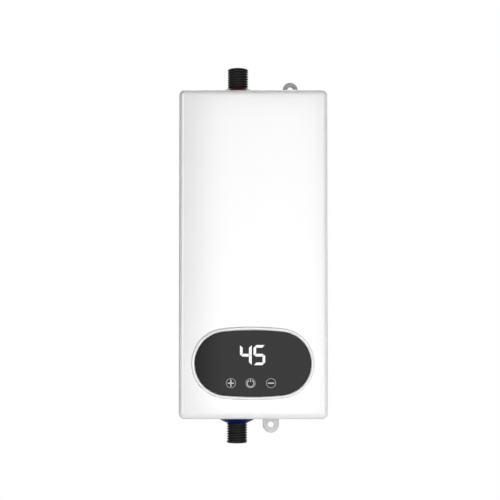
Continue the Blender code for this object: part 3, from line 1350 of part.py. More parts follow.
def make_tank():
    """The steel shell, its two moulded caps and the sheathed element wound as a double helix."""
    swage = CAP_FLANGE + CAP_PLUG
    profile = [(TANK_RADIUS, TANK_TOP_Z)]
    for centre, side in ((TANK_TOP_Z - swage, 1), (TANK_BOTTOM_Z + swage, -1)):
        for offset in (SWAGE_WIDTH / 2, 0.0, -SWAGE_WIDTH / 2):
            depth = 0.0 if offset else SWAGE_DEPTH
            profile.append((TANK_RADIUS - depth, centre - side * SWAGE_WIDTH + offset))
    profile.append((TANK_RADIUS, TANK_BOTTOM_Z))
    inside = [(max(radius - TANK_WALL, 0.0), height) for radius, height in reversed(profile)]
    mesh = turned_mesh("tank_shell", profile + inside, ROUND_STEPS, closed=True)
    add_part("tank_shell", mesh, (0.60, 0.60, 0.62), 0.28, 1.0, (TANK_X, PORT_Y, 0))

    make_cap("tank_lower_cap", LOWER_FLANGE_Z, INLET_X, -1, False)
    upper = make_cap("tank_upper_cap", UPPER_FLANGE_Z, OUTLET_X, 1, True)
    depth = CAP_FLANGE + CAP_PLUG + 2 * OVERRUN
    for x in element_legs():
        hole = cylinder_mesh("leg_hole", ELEMENT_RADIUS + CLEARANCE, depth, SMALL_STEPS)
        cut_shape(upper, "leg_hole", hole, (x, PORT_Y, UPPER_FLANGE_Z + OVERRUN - depth / 2))
    add_tube("heating_element", element_route(), ELEMENT_RADIUS, (0.45, 0.44, 0.43), 0.35, 1.0)


def element_route():
    """Return the element's path: down one helix, across the tank's axis and up the other."""
    top = TANK_TOP_Z - CAP_PLUG - ELEMENT_LEAD_IN
    bottom = TANK_BOTTOM_Z + CAP_PLUG + ELEMENT_END_GAP
    count = ELEMENT_TURNS * ELEMENT_STEPS
    down = []
    for index in range(count + 1):
        turn = 2 * math.pi * index / ELEMENT_STEPS
        height = top + (bottom - top) * index / count
        down.append((ELEMENT_COIL_RADIUS * math.cos(turn), ELEMENT_COIL_RADIUS * math.sin(turn), height))
    bend = []
    for index in range(1, ROUND_SEGMENTS):
        turn = math.pi * index / ROUND_SEGMENTS
        height = bottom - ELEMENT_COIL_RADIUS / 2 * math.sin(turn)
        bend.append((ELEMENT_COIL_RADIUS * math.cos(turn), 0.0, height))
    up = [(-x, -y, height) for x, y, height in reversed(down)]
    route = [(ELEMENT_COIL_RADIUS, 0.0, TERMINAL_TOP_Z)] + down + bend + up
    route.append((-ELEMENT_COIL_RADIUS, 0.0, TERMINAL_TOP_Z))
    return [(TANK_X + x, PORT_Y + y, height) for x, y, height in route]


def make_clamps():
    """Two steel straps over the tank, each hooked under a lug on the left and screwed on the right."""
    reach = TANK_RADIUS + CLEARANCE
    foot = CLAMP_FOOT_Y - PORT_Y
    toe = HOOK_LENGTH
    path = [(-reach - toe, foot), (-reach, foot)]
    path += arc_points((0.0, 0.0), reach, math.pi, 2 * math.pi, ROUND_STEPS // 2)
    path += [(reach, foot), (reach + CLAMP_THICKNESS + CLAMP_FOOT, foot)]
    number = 1
    for height in clamp_heights():
        name = "tank_clamp_" + str(number)
        mesh = strip_mesh(name, path, CLAMP_WIDTH, CLAMP_THICKNESS)
        clamp = add_part(name, mesh, (0.65, 0.65, 0.67), 0.35, 1.0, (TANK_X, PORT_Y, height))
        hole = cylinder_mesh("clamp_hole", SCREW_SHANK_RADIUS + CLEARANCE, CLAMP_SCREW_LENGTH, PIN_STEPS)
        cut_shape(clamp, "clamp_hole", hole, (clamp_screw_x(), CLAMP_FOOT_Y, height), FACE_FRONT)
        name = "clamp_screw_" + str(number)
        mesh = screw_mesh(name, CLAMP_SCREW_LENGTH, SCREW_HEAD_RADIUS - CLEARANCE, SCREW_HEAD_HEIGHT)
        place = (clamp_screw_x(), CLAMP_FOOT_Y - CLAMP_THICKNESS - CLEARANCE, height)
        add_part(name, mesh, (0.62, 0.62, 0.64), 0.30, 1.0, place, FACE_FRONT)
        number += 1


def make_cutout():
    """The manual-reset thermal cut-out on the tank's left side, its bracket and its push button."""
    bracket_x = TANK_X - TANK_RADIUS - CLEARANCE - BRACKET_THICKNESS / 2
    bend = BRACKET_THICKNESS * 2
    half = BRACKET_WIDTH / 2
    path = [(bend, half + bend), (0.0, half), (0.0, -half), (bend, -half - bend)]
    mesh = strip_mesh("cutout_bracket", path, BRACKET_HEIGHT, BRACKET_THICKNESS)
    add_part("cutout_bracket", mesh, (0.65, 0.65, 0.67), 0.35, 1.0,
             (bracket_x + BRACKET_THICKNESS / 2, PORT_Y, CUTOUT_Z))

    face = CUTOUT_FLANGE + CUTOUT_BODY_LENGTH
    end = face + CUTOUT_NECK_LENGTH
    bore = BUTTON_RADIUS + CLEARANCE
    bore_floor = end - BUTTON_BORE_DEPTH
    profile = [
        (0.0, bore_floor),
        (bore, bore_floor),
        (bore, end),
        (CUTOUT_NECK_RADIUS, end),
        (CUTOUT_NECK_RADIUS, face),
        (CUTOUT_BODY_RADIUS, face),
        (CUTOUT_BODY_RADIUS, CUTOUT_FLANGE),
        (CUTOUT_FLANGE_RADIUS, CUTOUT_FLANGE),
        (CUTOUT_FLANGE_RADIUS, 0.0),
        (0.0, 0.0),
    ]
    mesh = turned_mesh("thermal_cutout", profile, FINE_STEPS)
    place = (CUTOUT_X, PORT_Y, CUTOUT_Z)
    turn = (0, -math.pi / 2, 0)
    cutout = add_part("thermal_cutout", mesh, (0.05, 0.05, 0.05), 0.45, 0.0, place, turn)
    for side in (-1, 1):
        length = CUTOUT_TAB_LENGTH + OVERRUN
        centre_z = CUTOUT_Z + side * (CUTOUT_BODY_RADIUS + CUTOUT_TAB_LENGTH / 2 - OVERRUN / 2)
        tab = box_mesh("tab", (CUTOUT_TAB_THICKNESS, CUTOUT_TAB_WIDTH, length))
        join_shape(cutout, "tab", tab, (cutout_tab_x(), PORT_Y, centre_z))

    crown = BUTTON_SHANK + BUTTON_HEAD
    profile = [
        (0.0, crown),
        (BUTTON_HEAD_RADIUS - BUTTON_EDGE, crown),
        (BUTTON_HEAD_RADIUS, crown - BUTTON_EDGE),
        (BUTTON_HEAD_RADIUS, BUTTON_SHANK),
        (BUTTON_RADIUS, BUTTON_SHANK),
        (BUTTON_RADIUS, 0.0),
        (0.0, 0.0),
    ]
    mesh = turned_mesh("reset_button", profile, SMALL_STEPS)
    button_x = CUTOUT_X - (end + BUTTON_TRAVEL + CLEARANCE - BUTTON_SHANK)
    add_part("reset_button", mesh, (0.55, 0.03, 0.02), 0.40, 0.0, (button_x, PORT_Y, CUTOUT_Z), turn)


def cutout_tab_x():
    """Return the x of the cut-out's terminal tabs."""
    return CUTOUT_X - CUTOUT_FLANGE - CUTOUT_BODY_LENGTH / 2


def probe_mesh(name):
    """Return a screw-in temperature probe: its head starts at z = 0 and its tip points down."""
    hex_radius = PROBE_HEX_RADIUS
    profile = [
        (0.0, PROBE_HEX + PROBE_TAIL),
        (PROBE_TAIL_RADIUS, PROBE_HEX + PROBE_TAIL),
        (PROBE_TAIL_RADIUS, PROBE_HEX),
        (hex_radius, PROBE_HEX),
        (hex_radius, 0.0),
        (PROBE_TIP_RADIUS, 0.0),
        (PROBE_TIP_RADIUS, PROBE_TIP_RADIUS / 2 - PROBE_TIP_DEPTH),
        (PROBE_TIP_RADIUS / 2, -PROBE_TIP_DEPTH),
        (0.0, -PROBE_TIP_DEPTH),
    ]
    return turned_mesh(name, profile, PIN_STEPS)


def inlet_probe_x():
    """Return the x of the seat of the inlet probe's head."""
    return INLET_X - SENSOR_RADIUS - CLEARANCE


def outlet_probe_x():
    """Return the x of the seat of the outlet probe's head."""
    return OUTLET_X + SPIGOT_RADIUS + CLEARANCE


def make_probes():
    """The temperature probes: one in the flow sensor's web, one in the outlet spigot."""
    probes = [("inlet_probe", inlet_probe_x(), INLET_PROBE_Z, -1)]
    probes.append(("outlet_probe", outlet_probe_x(), OUTLET_PROBE_Z, 1))
    for name, x, z, side in probes:
        turn = (0, side * math.pi / 2, 0)
        add_part(name, probe_mesh(name), (0.70, 0.55, 0.25), 0.30, 1.0, (x, PORT_Y, z), turn)


def on_board(shares, depth):
    """Return a component's centre on the power board, from its shares of the board's width and height."""
    x = POWER_BOARD_X + POWER_BOARD_WIDTH * shares[0]
    z = POWER_BOARD_BOTTOM + POWER_BOARD_HEIGHT * shares[1]
    return (x, MOUNTED_Y - depth / 2, z)


def make_power_board():
    """The power board on the tray's standoffs."""
    half_width = POWER_BOARD_WIDTH / 2
    half_height = POWER_BOARD_HEIGHT / 2
    centre_x = POWER_BOARD_X + half_width
    centre_z = POWER_BOARD_BOTTOM + half_height
    outline = rounded_rectangle(half_width, half_height, BOARD_CORNER / 2, ROUND_SEGMENTS)
    holes = []
    for x, z in standoff_places():
        hole = arc_points((x - centre_x, z - centre_z), PIN_HOLE_RADIUS, 0.0, 2 * math.pi, PIN_STEPS)
        holes.append(hole[:-1])
    mesh = plate_mesh("power_board", [outline] + holes, BOARD_THICKNESS)
    place = (centre_x, (POWER_BOARD_REAR_Y + POWER_BOARD_Y) / 2, centre_z)
    add_part("power_board", mesh, (0.02, 0.12, 0.05), 0.50, 0.0, place, FACE_FRONT)


def make_board_parts():
    """The relay, transformer, capacitor, terminal block and leakage coil that stand on the power board."""
    mesh = box_mesh("safety_relay", RELAY_SIZE)
    centre = on_board(RELAY_SHARES, RELAY_SIZE[1])
    relay = add_part("safety_relay", mesh, (0.05, 0.12, 0.35), 0.40, 0.0, centre)
    round_edges(relay, RELAY_ROUND, 1)

    centre = on_board(TRANSFORMER_SHARES, TRANSFORMER_SIZE[1])
    mesh = box_mesh("transformer", TRANSFORMER_SIZE)
    transformer = add_part("transformer", mesh, (0.70, 0.55, 0.10), 0.50, 0.0, centre)
    width, depth, height = TRANSFORMER_SIZE
    for side in (-1, 1):
        notch_height = height * (1 - TRANSFORMER_CORE_SHARE) / 2
        notch = box_mesh("core_step", (width + OVERRUN, depth / 3, notch_height))
        place = (centre[0], centre[1] - depth / 2, centre[2] + side * (height - notch_height + OVERRUN) / 2)
        cut_shape(transformer, "core_step", notch, place)

    radius = CAPACITOR_RADIUS
    groove_z = CAPACITOR_HEIGHT / 8
    profile = [
        (0.0, CAPACITOR_HEIGHT),
        (radius - CAPACITOR_GROOVE, CAPACITOR_HEIGHT),
        (radius, CAPACITOR_HEIGHT - CAPACITOR_GROOVE),
        (radius, 2 * groove_z),
        (radius - CAPACITOR_GROOVE, groove_z * 3 / 2),
        (radius, groove_z),
        (radius, 0.0),
        (0.0, 0.0),
    ]
    mesh = turned_mesh("capacitor", profile, SMALL_STEPS)
    place = on_board(CAPACITOR_SHARES, 0.0)
    add_part("capacitor", mesh, (0.04, 0.05, 0.12), 0.35, 0.0, place, FACE_FRONT)

    centre = on_board(TERMINAL_SHARES, TERMINAL_SIZE[1])
    mesh = box_mesh("terminal_block", TERMINAL_SIZE)
    block = add_part("terminal_block", mesh, (0.08, 0.35, 0.12), 0.50, 0.0, centre)
    pitch = TERMINAL_SIZE[0] / TERMINAL_WAYS
    for index in range(TERMINAL_WAYS):
        well = cylinder_mesh("well", TERMINAL_WELL_RADIUS, TERMINAL_WELL_DEPTH + OVERRUN, PIN_STEPS)
        x = centre[0] + (index - (TERMINAL_WAYS - 1) / 2) * pitch
        well_y = centre[1] - (TERMINAL_SIZE[1] + OVERRUN - TERMINAL_WELL_DEPTH) / 2
        cut_shape(block, "well", well, (x, well_y, centre[2]), FACE_FRONT)

    section = rounded_rectangle(COIL_RING_THICKNESS, COIL_RING_THICKNESS, COIL_RING_THICKNESS / 3, 1)
    section = [(COIL_RING_RADIUS + x, y) for x, y in reversed(section)]
    mesh = turned_mesh("leakage_coil", section, FINE_STEPS, closed=True)
    place = on_board(COIL_SHARES, 2 * (COIL_RING_RADIUS + COIL_RING_THICKNESS))
    add_part("leakage_coil", mesh, (0.05, 0.05, 0.06), 0.55, 0.0, place)


def sink_centre_z():
    """Return the z of the triac's heat sink."""
    return TANK_BOTTOM_Z + TANK_LENGTH * SINK_SHARE


def sink_face_x():
    """Return the x of the heat sink's flat face."""
    return TANK_X + TANK_RADIUS + CLEARANCE + SINK_THICKNESS


def make_triac():
    """The triac on an aluminium saddle that the tank's wall keeps cool."""
    depth = SINK_DEPTH
    low_x = TANK_X + math.sqrt((TANK_RADIUS + CLEARANCE) ** 2 - (depth / 2) ** 2) - OVERRUN
    width = sink_face_x() - low_x
    mesh = box_mesh("triac_heat_sink", (width, depth, SINK_HEIGHT))
    place = (low_x + width / 2, PORT_Y, sink_centre_z())
    sink = add_part("triac_heat_sink", mesh, (0.75, 0.75, 0.76), 0.35, 1.0, place)
    tank = cylinder_mesh("sink_saddle", TANK_RADIUS + CLEARANCE, SINK_HEIGHT + OVERRUN, 2 * ROUND_STEPS)
    cut_shape(sink, "sink_saddle", tank, (TANK_X, PORT_Y, sink_centre_z()))

    mesh = box_mesh("triac", TRIAC_SIZE)
    place = (sink_face_x() + CLEARANCE + TRIAC_SIZE[0] / 2, PORT_Y, sink_centre_z())
    triac = add_part("triac", mesh, (0.03, 0.03, 0.03), 0.40, 0.0, place)
    round_edges(triac, TRIAC_ROUND, 1)
    hole = cylinder_mesh("triac_hole", TRIAC_SCREW_RADIUS, TRIAC_SIZE[0] + OVERRUN, PIN_STEPS)
    hole_z = sink_centre_z() + TRIAC_SIZE[2] / 4
    cut_shape(triac, "triac_hole", hole, (place[0], PORT_Y, hole_z), (0, math.pi / 2, 0))


def earth_z():
    """Return the z of the earth screw."""
    return TANK_BOTTOM_Z + TANK_LENGTH * EARTH_SHARE


def make_earth_screw():
    """The hexagon earth screw on the tank's weld nut, with its lead's ring under the head."""
    seat = EARTH_SHANK
    washer = seat + EARTH_WASHER
    profile = [
        (0.0, washer),
        (EARTH_WASHER_RADIUS, washer),
        (EARTH_WASHER_RADIUS, seat),
        (EARTH_SHANK_RADIUS, seat),
        (EARTH_SHANK_RADIUS, 0.0),
        (0.0, 0.0),
    ]
    mesh = turned_mesh("earth_screw", profile, SMALL_STEPS)
    place = (TANK_X + TANK_RADIUS + CLEARANCE, PORT_Y, earth_z())
    turn = (0, math.pi / 2, 0)
    screw = add_part("earth_screw", mesh, (0.80, 0.65, 0.30), 0.30, 1.0, place, turn)
    head = cylinder_mesh("hex_head", EARTH_HEAD_RADIUS, EARTH_HEAD + FUSE_DEPTH, 6)
    head_x = place[0] + washer + (EARTH_HEAD - FUSE_DEPTH) / 2
    join_shape(screw, "hex_head", head, (head_x, PORT_Y, place[2]), turn)


def add_lead(name, points, colour, radius=LEAD_RADIUS):
    """Add an insulated lead along a smooth curve through its points."""
    add_tube(name, smooth_route(points, LEAD_STEPS), radius, colour, 0.45)


def make_leads():
    """The insulated leads between the board, the cut-out, the element, the sensors and earth."""
    left_leg, right_leg = element_legs()
    tab_x = cutout_tab_x()
    tab_top = CUTOUT_Z + CUTOUT_BODY_RADIUS + CUTOUT_TAB_LENGTH + CLEARANCE
    tab_bottom = 2 * CUTOUT_Z - tab_top
    terminal_z = TERMINAL_TOP_Z + CLEARANCE
    over_y = PORT_Y - SPIGOT_RADIUS - LEAD_OVER_SPIGOT
    board_y = MOUNTED_Y - LEAD_RADIUS
    board_top = POWER_BOARD_BOTTOM + POWER_BOARD_HEIGHT

    points = [
        (tab_x, PORT_Y, tab_top),
        (tab_x, PORT_Y, tab_top + LEAD_START),
        (tab_x + LEAD_RADIUS, PORT_Y, terminal_z - LEAD_START),
        (left_leg - LEAD_START, PORT_Y, terminal_z + LEAD_START),
        (left_leg, PORT_Y, terminal_z + LEAD_START / 2),
        (left_leg, PORT_Y, terminal_z),
    ]
    add_lead("cutout_lead", points, (0.50, 0.03, 0.02))

    side_x = tab_x - LEAD_START
    side_y = PORT_Y + CUTOUT_BODY_RADIUS + LEAD_BEHIND
    live_x = on_board(RELAY_SHARES, 0.0)[0]
    live_z = board_top - LEAD_RISE / 2
    points = [
        (tab_x, PORT_Y, tab_bottom),
        (tab_x, PORT_Y, tab_bottom - LEAD_START),
        (side_x, side_y, tab_bottom),
        (side_x, side_y, tab_top),
        (side_x, over_y, terminal_z + LEAD_RISE),
        (OUTLET_X, over_y, terminal_z + LEAD_RISE + LEAD_START),
        (live_x, over_y, board_top - STANDOFF_INSET - LEAD_START),
        (live_x, board_y - LEAD_START, live_z),
        (live_x, board_y, live_z),
    ]
    add_lead("heater_lead_live", points, (0.25, 0.12, 0.05))

    triac_x = sink_face_x() + CLEARANCE + TRIAC_SIZE[0] / 2
    triac_top = sink_centre_z() + TRIAC_SIZE[2] / 2 + CLEARANCE
    points = [
        (right_leg, PORT_Y, terminal_z),
        (right_leg, PORT_Y, terminal_z + LEAD_START / 2),
        (right_leg + LEAD_START, PORT_Y, terminal_z + LEAD_START),
        (triac_x, PORT_Y, terminal_z - LEAD_START),
        (triac_x, PORT_Y, triac_top + LEAD_START),
        (triac_x, PORT_Y, triac_top),
    ]
    add_lead("heater_lead_neutral", points, (0.03, 0.06, 0.35))

    tail = PROBE_HEX + PROBE_TAIL + CLEARANCE
    start_x = outlet_probe_x() + tail
    end_x = POWER_BOARD_X + POWER_BOARD_WIDTH / 2
    small_y = MOUNTED_Y - SENSOR_LEAD_RADIUS
    points = [
        (start_x, PORT_Y, OUTLET_PROBE_Z),
        (start_x + LEAD_START, PORT_Y, OUTLET_PROBE_Z),
        (end_x, PORT_Y + LEAD_START, board_top),
        (end_x, small_y - LEAD_START, board_top - LEAD_START),
        (end_x, small_y, board_top - LEAD_START),
    ]
    add_lead("outlet_probe_lead", points, (0.05, 0.05, 0.05), SENSOR_LEAD_RADIUS)

    start_x = inlet_probe_x() - tail
    over_y = (PORT_Y - SENSOR_RADIUS + DISPLAY_BOARD_REAR_Y) / 2
    end_x = POWER_BOARD_X + STANDOFF_INSET
    end_z = POWER_BOARD_BOTTOM + 2 * STANDOFF_INSET
    points = [
        (start_x, PORT_Y, INLET_PROBE_Z),
        (start_x - LEAD_START / 2, PORT_Y, INLET_PROBE_Z),
        (start_x - LEAD_START / 2, over_y, INLET_PROBE_Z),
        (INLET_X, over_y, INLET_PROBE_Z),
        (INLET_X + SENSOR_RADIUS + LEAD_START, over_y + LEAD_START, INLET_PROBE_Z),
        (end_x, PORT_Y, POWER_BOARD_BOTTOM - LEAD_START),
        (end_x, small_y - LEAD_START, end_z),
        (end_x, small_y, end_z),
    ]
    add_lead("inlet_probe_lead", points, (0.05, 0.05, 0.05), SENSOR_LEAD_RADIUS)

    start_x = hall_face_x() + HALL_THICKNESS + 2 * CLEARANCE
    end_x += LEAD_PITCH
    points = [
        (start_x, PORT_Y, TURBINE_Z),
        (start_x + LEAD_START / 2, PORT_Y, TURBINE_Z),
        (POWER_BOARD_X, PORT_Y, INLET_PROBE_Z - LEAD_START),
        (end_x, PORT_Y + LEAD_START / 2, POWER_BOARD_BOTTOM - LEAD_START),
        (end_x, small_y - LEAD_START, end_z),
        (end_x, small_y, end_z),
    ]
    add_lead("flow_sensor_lead", points, (0.70, 0.70, 0.05), SENSOR_LEAD_RADIUS)

    block = on_board(TERMINAL_SHARES, TERMINAL_SIZE[1])
    ring_x = TANK_X + TANK_RADIUS + CLEARANCE + EARTH_SHANK + EARTH_WASHER / 2
    ring_y = PORT_Y - EARTH_WASHER_RADIUS - CLEARANCE
    block_left = block[0] - TERMINAL_SIZE[0] / 2 - CLEARANCE
    points = [
        (ring_x, ring_y, earth_z()),
        (ring_x, ring_y - LEAD_START / 2, earth_z()),
        (ring_x + LEAD_START, ring_y, earth_z() + LEAD_RISE),
        (block_left - LEAD_START, block[1], block[2] - LEAD_START / 2),
        (block_left - LEAD_START / 2, block[1], block[2]),
        (block_left, block[1], block[2]),
    ]
    add_lead("earth_lead", points, (0.30, 0.45, 0.03))


def make_ribbon():
    """The flat ribbon from the display board's rear to the power board's lower end."""
    x = DISPLAY_BOARD_HALF_WIDTH - RIBBON_EDGE - RIBBON_WIDTH / 2
    start_y = DISPLAY_BOARD_REAR_Y + CLEARANCE
    start_z = LENS_CENTRE_Z + LENS_HALF_HEIGHT - RIBBON_INSET
    end_y = MOUNTED_Y - RIBBON_THICKNESS
    end_z = POWER_BOARD_BOTTOM + STANDOFF_INSET
    points = [
        (0.0, start_y, start_z),
        (0.0, start_y + RIBBON_BELLY, start_z),
        (0.0, (start_y + end_y) / 2, start_z + RIBBON_BELLY / 2),
        (0.0, end_y - RIBBON_BELLY / 2, end_z - RIBBON_BELLY),
        (0.0, end_y, end_z - RIBBON_BELLY / 4),
        (0.0, end_y, end_z),
    ]
    path = [(y, z) for _, y, z in reversed(smooth_route(points, LEAD_STEPS))]
    mesh = strip_mesh("display_ribbon", path, RIBBON_WIDTH, RIBBON_THICKNESS)
    axes = Matrix(((0, 0, 1, 0), (1, 0, 0, 0), (0, 1, 0, 0), (0, 0, 0, 1)))
    mesh.transform(axes)
    add_part("display_ribbon", mesh, (0.55, 0.55, 0.57), 0.50, 0.0, (x, 0, 0))


def main():
    """Build every part, then settle the meshes."""
    make_front_cover()
    make_back_tray()
    make_gasket()
    make_cover_screws()
    make_grommet()
    make_bezel()
    make_lens()
    make_display()
    make_spigots()
    make_collars()
    make_strainer()
    make_seals()
    make_flow_sensor()
    make_turbine()
    make_tank()
    make_clamps()
    make_cutout()
    make_probes()
    make_power_board()
    make_board_parts()
    make_triac()
    make_earth_screw()
    make_leads()
    make_ribbon()
    for part in PARTS.objects:
        if part.type == "MESH":
            settle(part)
    for cutter in list(CUTTERS.objects):
        bpy.data.objects.remove(cutter)
    print("parts:", len(PARTS.objects))


main()
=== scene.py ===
"""Dressed model of a wall-hung tankless water heater in a plain studio.

Metres, +Z up; the front faces -Y and the wall plane is y = 0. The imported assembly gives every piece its
place. This script lays fine meshes over the pieces that show, gives each surface its finish and sets the
camera, the lamps and the floor.
"""

import logging
import math
from dataclasses import dataclass, field
from enum import Enum

import bmesh
import bpy
from mathutils import Matrix, Vector


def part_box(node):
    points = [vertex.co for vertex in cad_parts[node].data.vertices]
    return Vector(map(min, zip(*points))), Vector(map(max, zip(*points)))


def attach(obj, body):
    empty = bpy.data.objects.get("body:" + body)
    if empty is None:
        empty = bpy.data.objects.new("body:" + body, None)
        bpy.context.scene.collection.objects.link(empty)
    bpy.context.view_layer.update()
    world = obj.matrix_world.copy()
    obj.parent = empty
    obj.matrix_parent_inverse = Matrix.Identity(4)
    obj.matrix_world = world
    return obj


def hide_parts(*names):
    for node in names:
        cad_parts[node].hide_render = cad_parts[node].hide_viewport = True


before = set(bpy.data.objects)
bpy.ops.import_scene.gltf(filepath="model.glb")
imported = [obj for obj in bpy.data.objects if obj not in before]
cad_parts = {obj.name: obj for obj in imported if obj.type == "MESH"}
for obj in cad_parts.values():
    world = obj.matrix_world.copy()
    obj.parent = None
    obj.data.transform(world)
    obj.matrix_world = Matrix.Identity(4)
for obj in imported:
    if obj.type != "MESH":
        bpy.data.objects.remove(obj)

Colour = tuple[float, float, float]
Pair = tuple[float, float]
Place = tuple[float, float, float]

LOG = logging.getLogger("water_heater")
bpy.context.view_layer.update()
CLEARANCE = 0.0003
FUSE_DEPTH = 0.0004
OVERRUN = 0.001
WELD = 0.000002
POLE_RADIUS = 1e-9
MITRE_LIMIT = 0.3
COAT_ROUGHNESS = 0.06
SMOOTH_ANGLE = math.radians(35.0)
WHITE = (1.0, 1.0, 1.0, 1.0)


# Mesh helpers


def circle(radius: float, height: float, steps: int, start: float = 0.0) -> list[Place]:
    """Return the points of a circle round Z.

    Args:
        radius: Radius of the circle.
        height: Its z.
        steps: Number of points.
        start: Angle of the first point.

    Returns:
        The points, counter-clockwise.
    """
    turns = [start + 2.0 * math.pi * index / steps for index in range(steps)]
    return [(radius * math.cos(turn), radius * math.sin(turn), height) for turn in turns]


def arc(centre: Pair, radius: float, start: float, end: float, steps: int) -> list[Pair]:
    """Return points of an arc.

    Args:
        centre: Centre of the arc.
        radius: Its radius.
        start: Start angle.
        end: End angle.
        steps: Number of chords.

    Returns:
        The points, both ends included.
    """
    turns = [start + (end - start) * index / steps for index in range(steps + 1)]
    return [(centre[0] + radius * math.cos(turn), centre[1] + radius * math.sin(turn)) for turn in turns]


def quarter(radius: float, steps: int) -> list[Pair]:
    """Return an edge's rounding, from the face to the side.

    Args:
        radius: Radius of the rounding.
        steps: Number of chords.

    Returns:
        How far each point lies inside the outline, and how deep below the face.
    """
    turns = [math.pi / 2 * index / steps for index in range(steps + 1)]
    return [(radius * (1 - math.sin(turn)), radius * (1 - math.cos(turn))) for turn in turns]


def round_rectangle(half_width: float, half_height: float, radius: float, steps: int) -> list[Pair]:
    """Return the outline of a rectangle with round corners.

    Args:
        half_width: Half of its width.
        half_height: Half of its height.
        radius: Corner radius.
        steps: Chords per corner.

    Returns:
        The outline, counter-clockwise.
    """
    outline: list[Pair] = []
    for index, (side_x, side_z) in enumerate(((1, 1), (-1, 1), (-1, -1), (1, -1))):
        centre = (side_x * (half_width - radius), side_z * (half_height - radius))
        outline += arc(centre, radius, math.pi / 2 * index, math.pi / 2 * (index + 1), steps)
    return outline


def upright(outline: list[Pair], y: float) -> list[Place]:
    """Return an outline drawn in x and z as points at a depth."""
    return [(x, y, z) for x, z in outline]


def linked(name: str, data: bpy.types.ID) -> bpy.types.Object:
    """Return a new object of the scene that holds the data."""
    item = bpy.data.objects.new(name, data)
    bpy.context.scene.collection.objects.link(item)
    return item


def mesh_from(name: str, work: bmesh.types.BMesh) -> bpy.types.Mesh:
    """Return a BMesh's geometry as a new mesh, and free the BMesh."""
    mesh = bpy.data.meshes.new(name)
    work.to_mesh(mesh)
    work.free()
    return mesh


def together(name: str, meshes: list[bpy.types.Mesh]) -> bpy.types.Mesh:
    """Return one mesh that holds several separate ones.

    Args:
        name: Name of the mesh.
        meshes: The separate meshes.

    Returns:
        The joined mesh.
    """
    work = bmesh.new()
    for mesh in meshes:
        work.from_mesh(mesh)
    return mesh_from(name, work)


def loft(name: str, loops: list[list[Place]], closed: bool = False) -> bpy.types.Mesh:
    """Skin a row of loops that have the same number of points.

    Args:
        name: Name of the mesh.
        loops: The loops; one of a single point is a pole.
        closed: Whether the last loop joins the first; if not, flat caps close the two ends.

    Returns:
        A closed mesh whose faces point outwards.
    """
    work = bmesh.new()
    rows = [[work.verts.new(point) for point in loop] for loop in loops]
    pairs = list(zip(rows, rows[1:]))
    if closed:
        pairs.append((rows[-1], rows[0]))
    for low, high in pairs:
        count = max(len(low), len(high))
        for index in range(count):
            after = (index + 1) % count
            corners = [low[index % len(low)], low[after % len(low)]]
            corners += [high[after % len(high)], high[index % len(high)]]
            work.faces.new(list(dict.fromkeys(corners)))
    if not closed:
        for row in (rows[0], rows[-1]):
            if len(row) > 2:
                work.faces.new(row)
    bmesh.ops.recalc_face_normals(work, faces=work.faces)
    return mesh_from(name, work)


def lathe(name: str, profile: list[Pair], steps: int, closed: bool = False) -> bpy.types.Mesh:
    """Turn a profile of (radius, z) points round Z.

    Args:
        name: Name of the mesh.
        profile: The points, those on the axis with a radius of zero.
        steps: Points round each ring.
        closed: Whether the profile is a closed section.

    Returns:
        The turned mesh.
    """
    loops = []
    for radius, height in profile:
        loops.append(circle(radius, height, steps) if radius > POLE_RADIUS else [(0.0, 0.0, height)])
    return loft(name, loops, closed)


def prism(name: str, outlines: list[list[Pair]], front_y: float, rear_y: float) -> bpy.types.Mesh:
    """Return an upright plate between two depths.

    Args:
        name: Name of the mesh.
        outlines: Closed outlines in x and z; inner ones are holes.
        front_y: Depth of its front face.
        rear_y: Depth of its rear face.

    Returns:
        The plate's mesh.
    """
    curve = bpy.data.curves.new(name, "CURVE")
    curve.dimensions = "2D"
    curve.fill_mode = "BOTH"
    curve.extrude = (rear_y - front_y) / 2
    for outline in outlines:
        spline = curve.splines.new("POLY")
        spline.points.add(len(outline) - 1)
        spline.use_cyclic_u = True
        for point, place in zip(spline.points, outline):
            point.co = (place[0], place[1], 0.0, 1.0)
    holder = linked(name, curve)
    mesh = plain_mesh(holder)
    bpy.data.objects.remove(holder)
    middle = Matrix.Translation((0.0, (front_y + rear_y) / 2, 0.0))
    return welded(placed(mesh, middle @ Matrix.Rotation(math.pi / 2, 4, "X")))


def block(name: str, low: Place, high: Place) -> bpy.types.Mesh:
    """Return a box between two corners."""
    outline = [(low[0], low[2]), (high[0], low[2]), (high[0], high[2]), (low[0], high[2])]
    return loft(name, [upright(outline, low[1]), upright(outline, high[1])])


def pin(
    name: str, radius: float, x: float, z: float, front_y: float, rear_y: float, steps: int = 32
) -> bpy.types.Mesh:
    """Return a cylinder along Y.

    Args:
        name: Name of the mesh.
        radius: Its radius.
        x: Its axis in x.
        z: Its axis in z.
        front_y: Depth of its front end.
        rear_y: Depth of its rear end.
        steps: Facets round it.

    Returns:
        The cylinder's mesh.
    """
    outline = [(x + px, z + pz) for px, pz in arc((0.0, 0.0), radius, 0.0, 2 * math.pi, steps)[:-1]]
    return loft(name, [upright(outline, front_y), upright(outline, rear_y)])


def welded(mesh: bpy.types.Mesh) -> bpy.types.Mesh:
    """Merge a mesh's doubles, then turn its faces outwards."""
    work = bmesh.new()
    work.from_mesh(mesh)
    bmesh.ops.remove_doubles(work, verts=work.verts, dist=WELD)
    bmesh.ops.recalc_face_normals(work, faces=work.faces)
    work.to_mesh(mesh)
    work.free()
    return mesh


def plain_mesh(item: bpy.types.Object) -> bpy.types.Mesh:
    """Return the mesh of an object with its modifiers applied."""
    graph = bpy.context.evaluated_depsgraph_get()
    graph.update()
    return bpy.data.meshes.new_from_object(item.evaluated_get(graph))


def placed(mesh: bpy.types.Mesh, matrix: Matrix) -> bpy.types.Mesh:
    """Move a mesh's points by a matrix and return it."""
    mesh.transform(matrix)
    return mesh


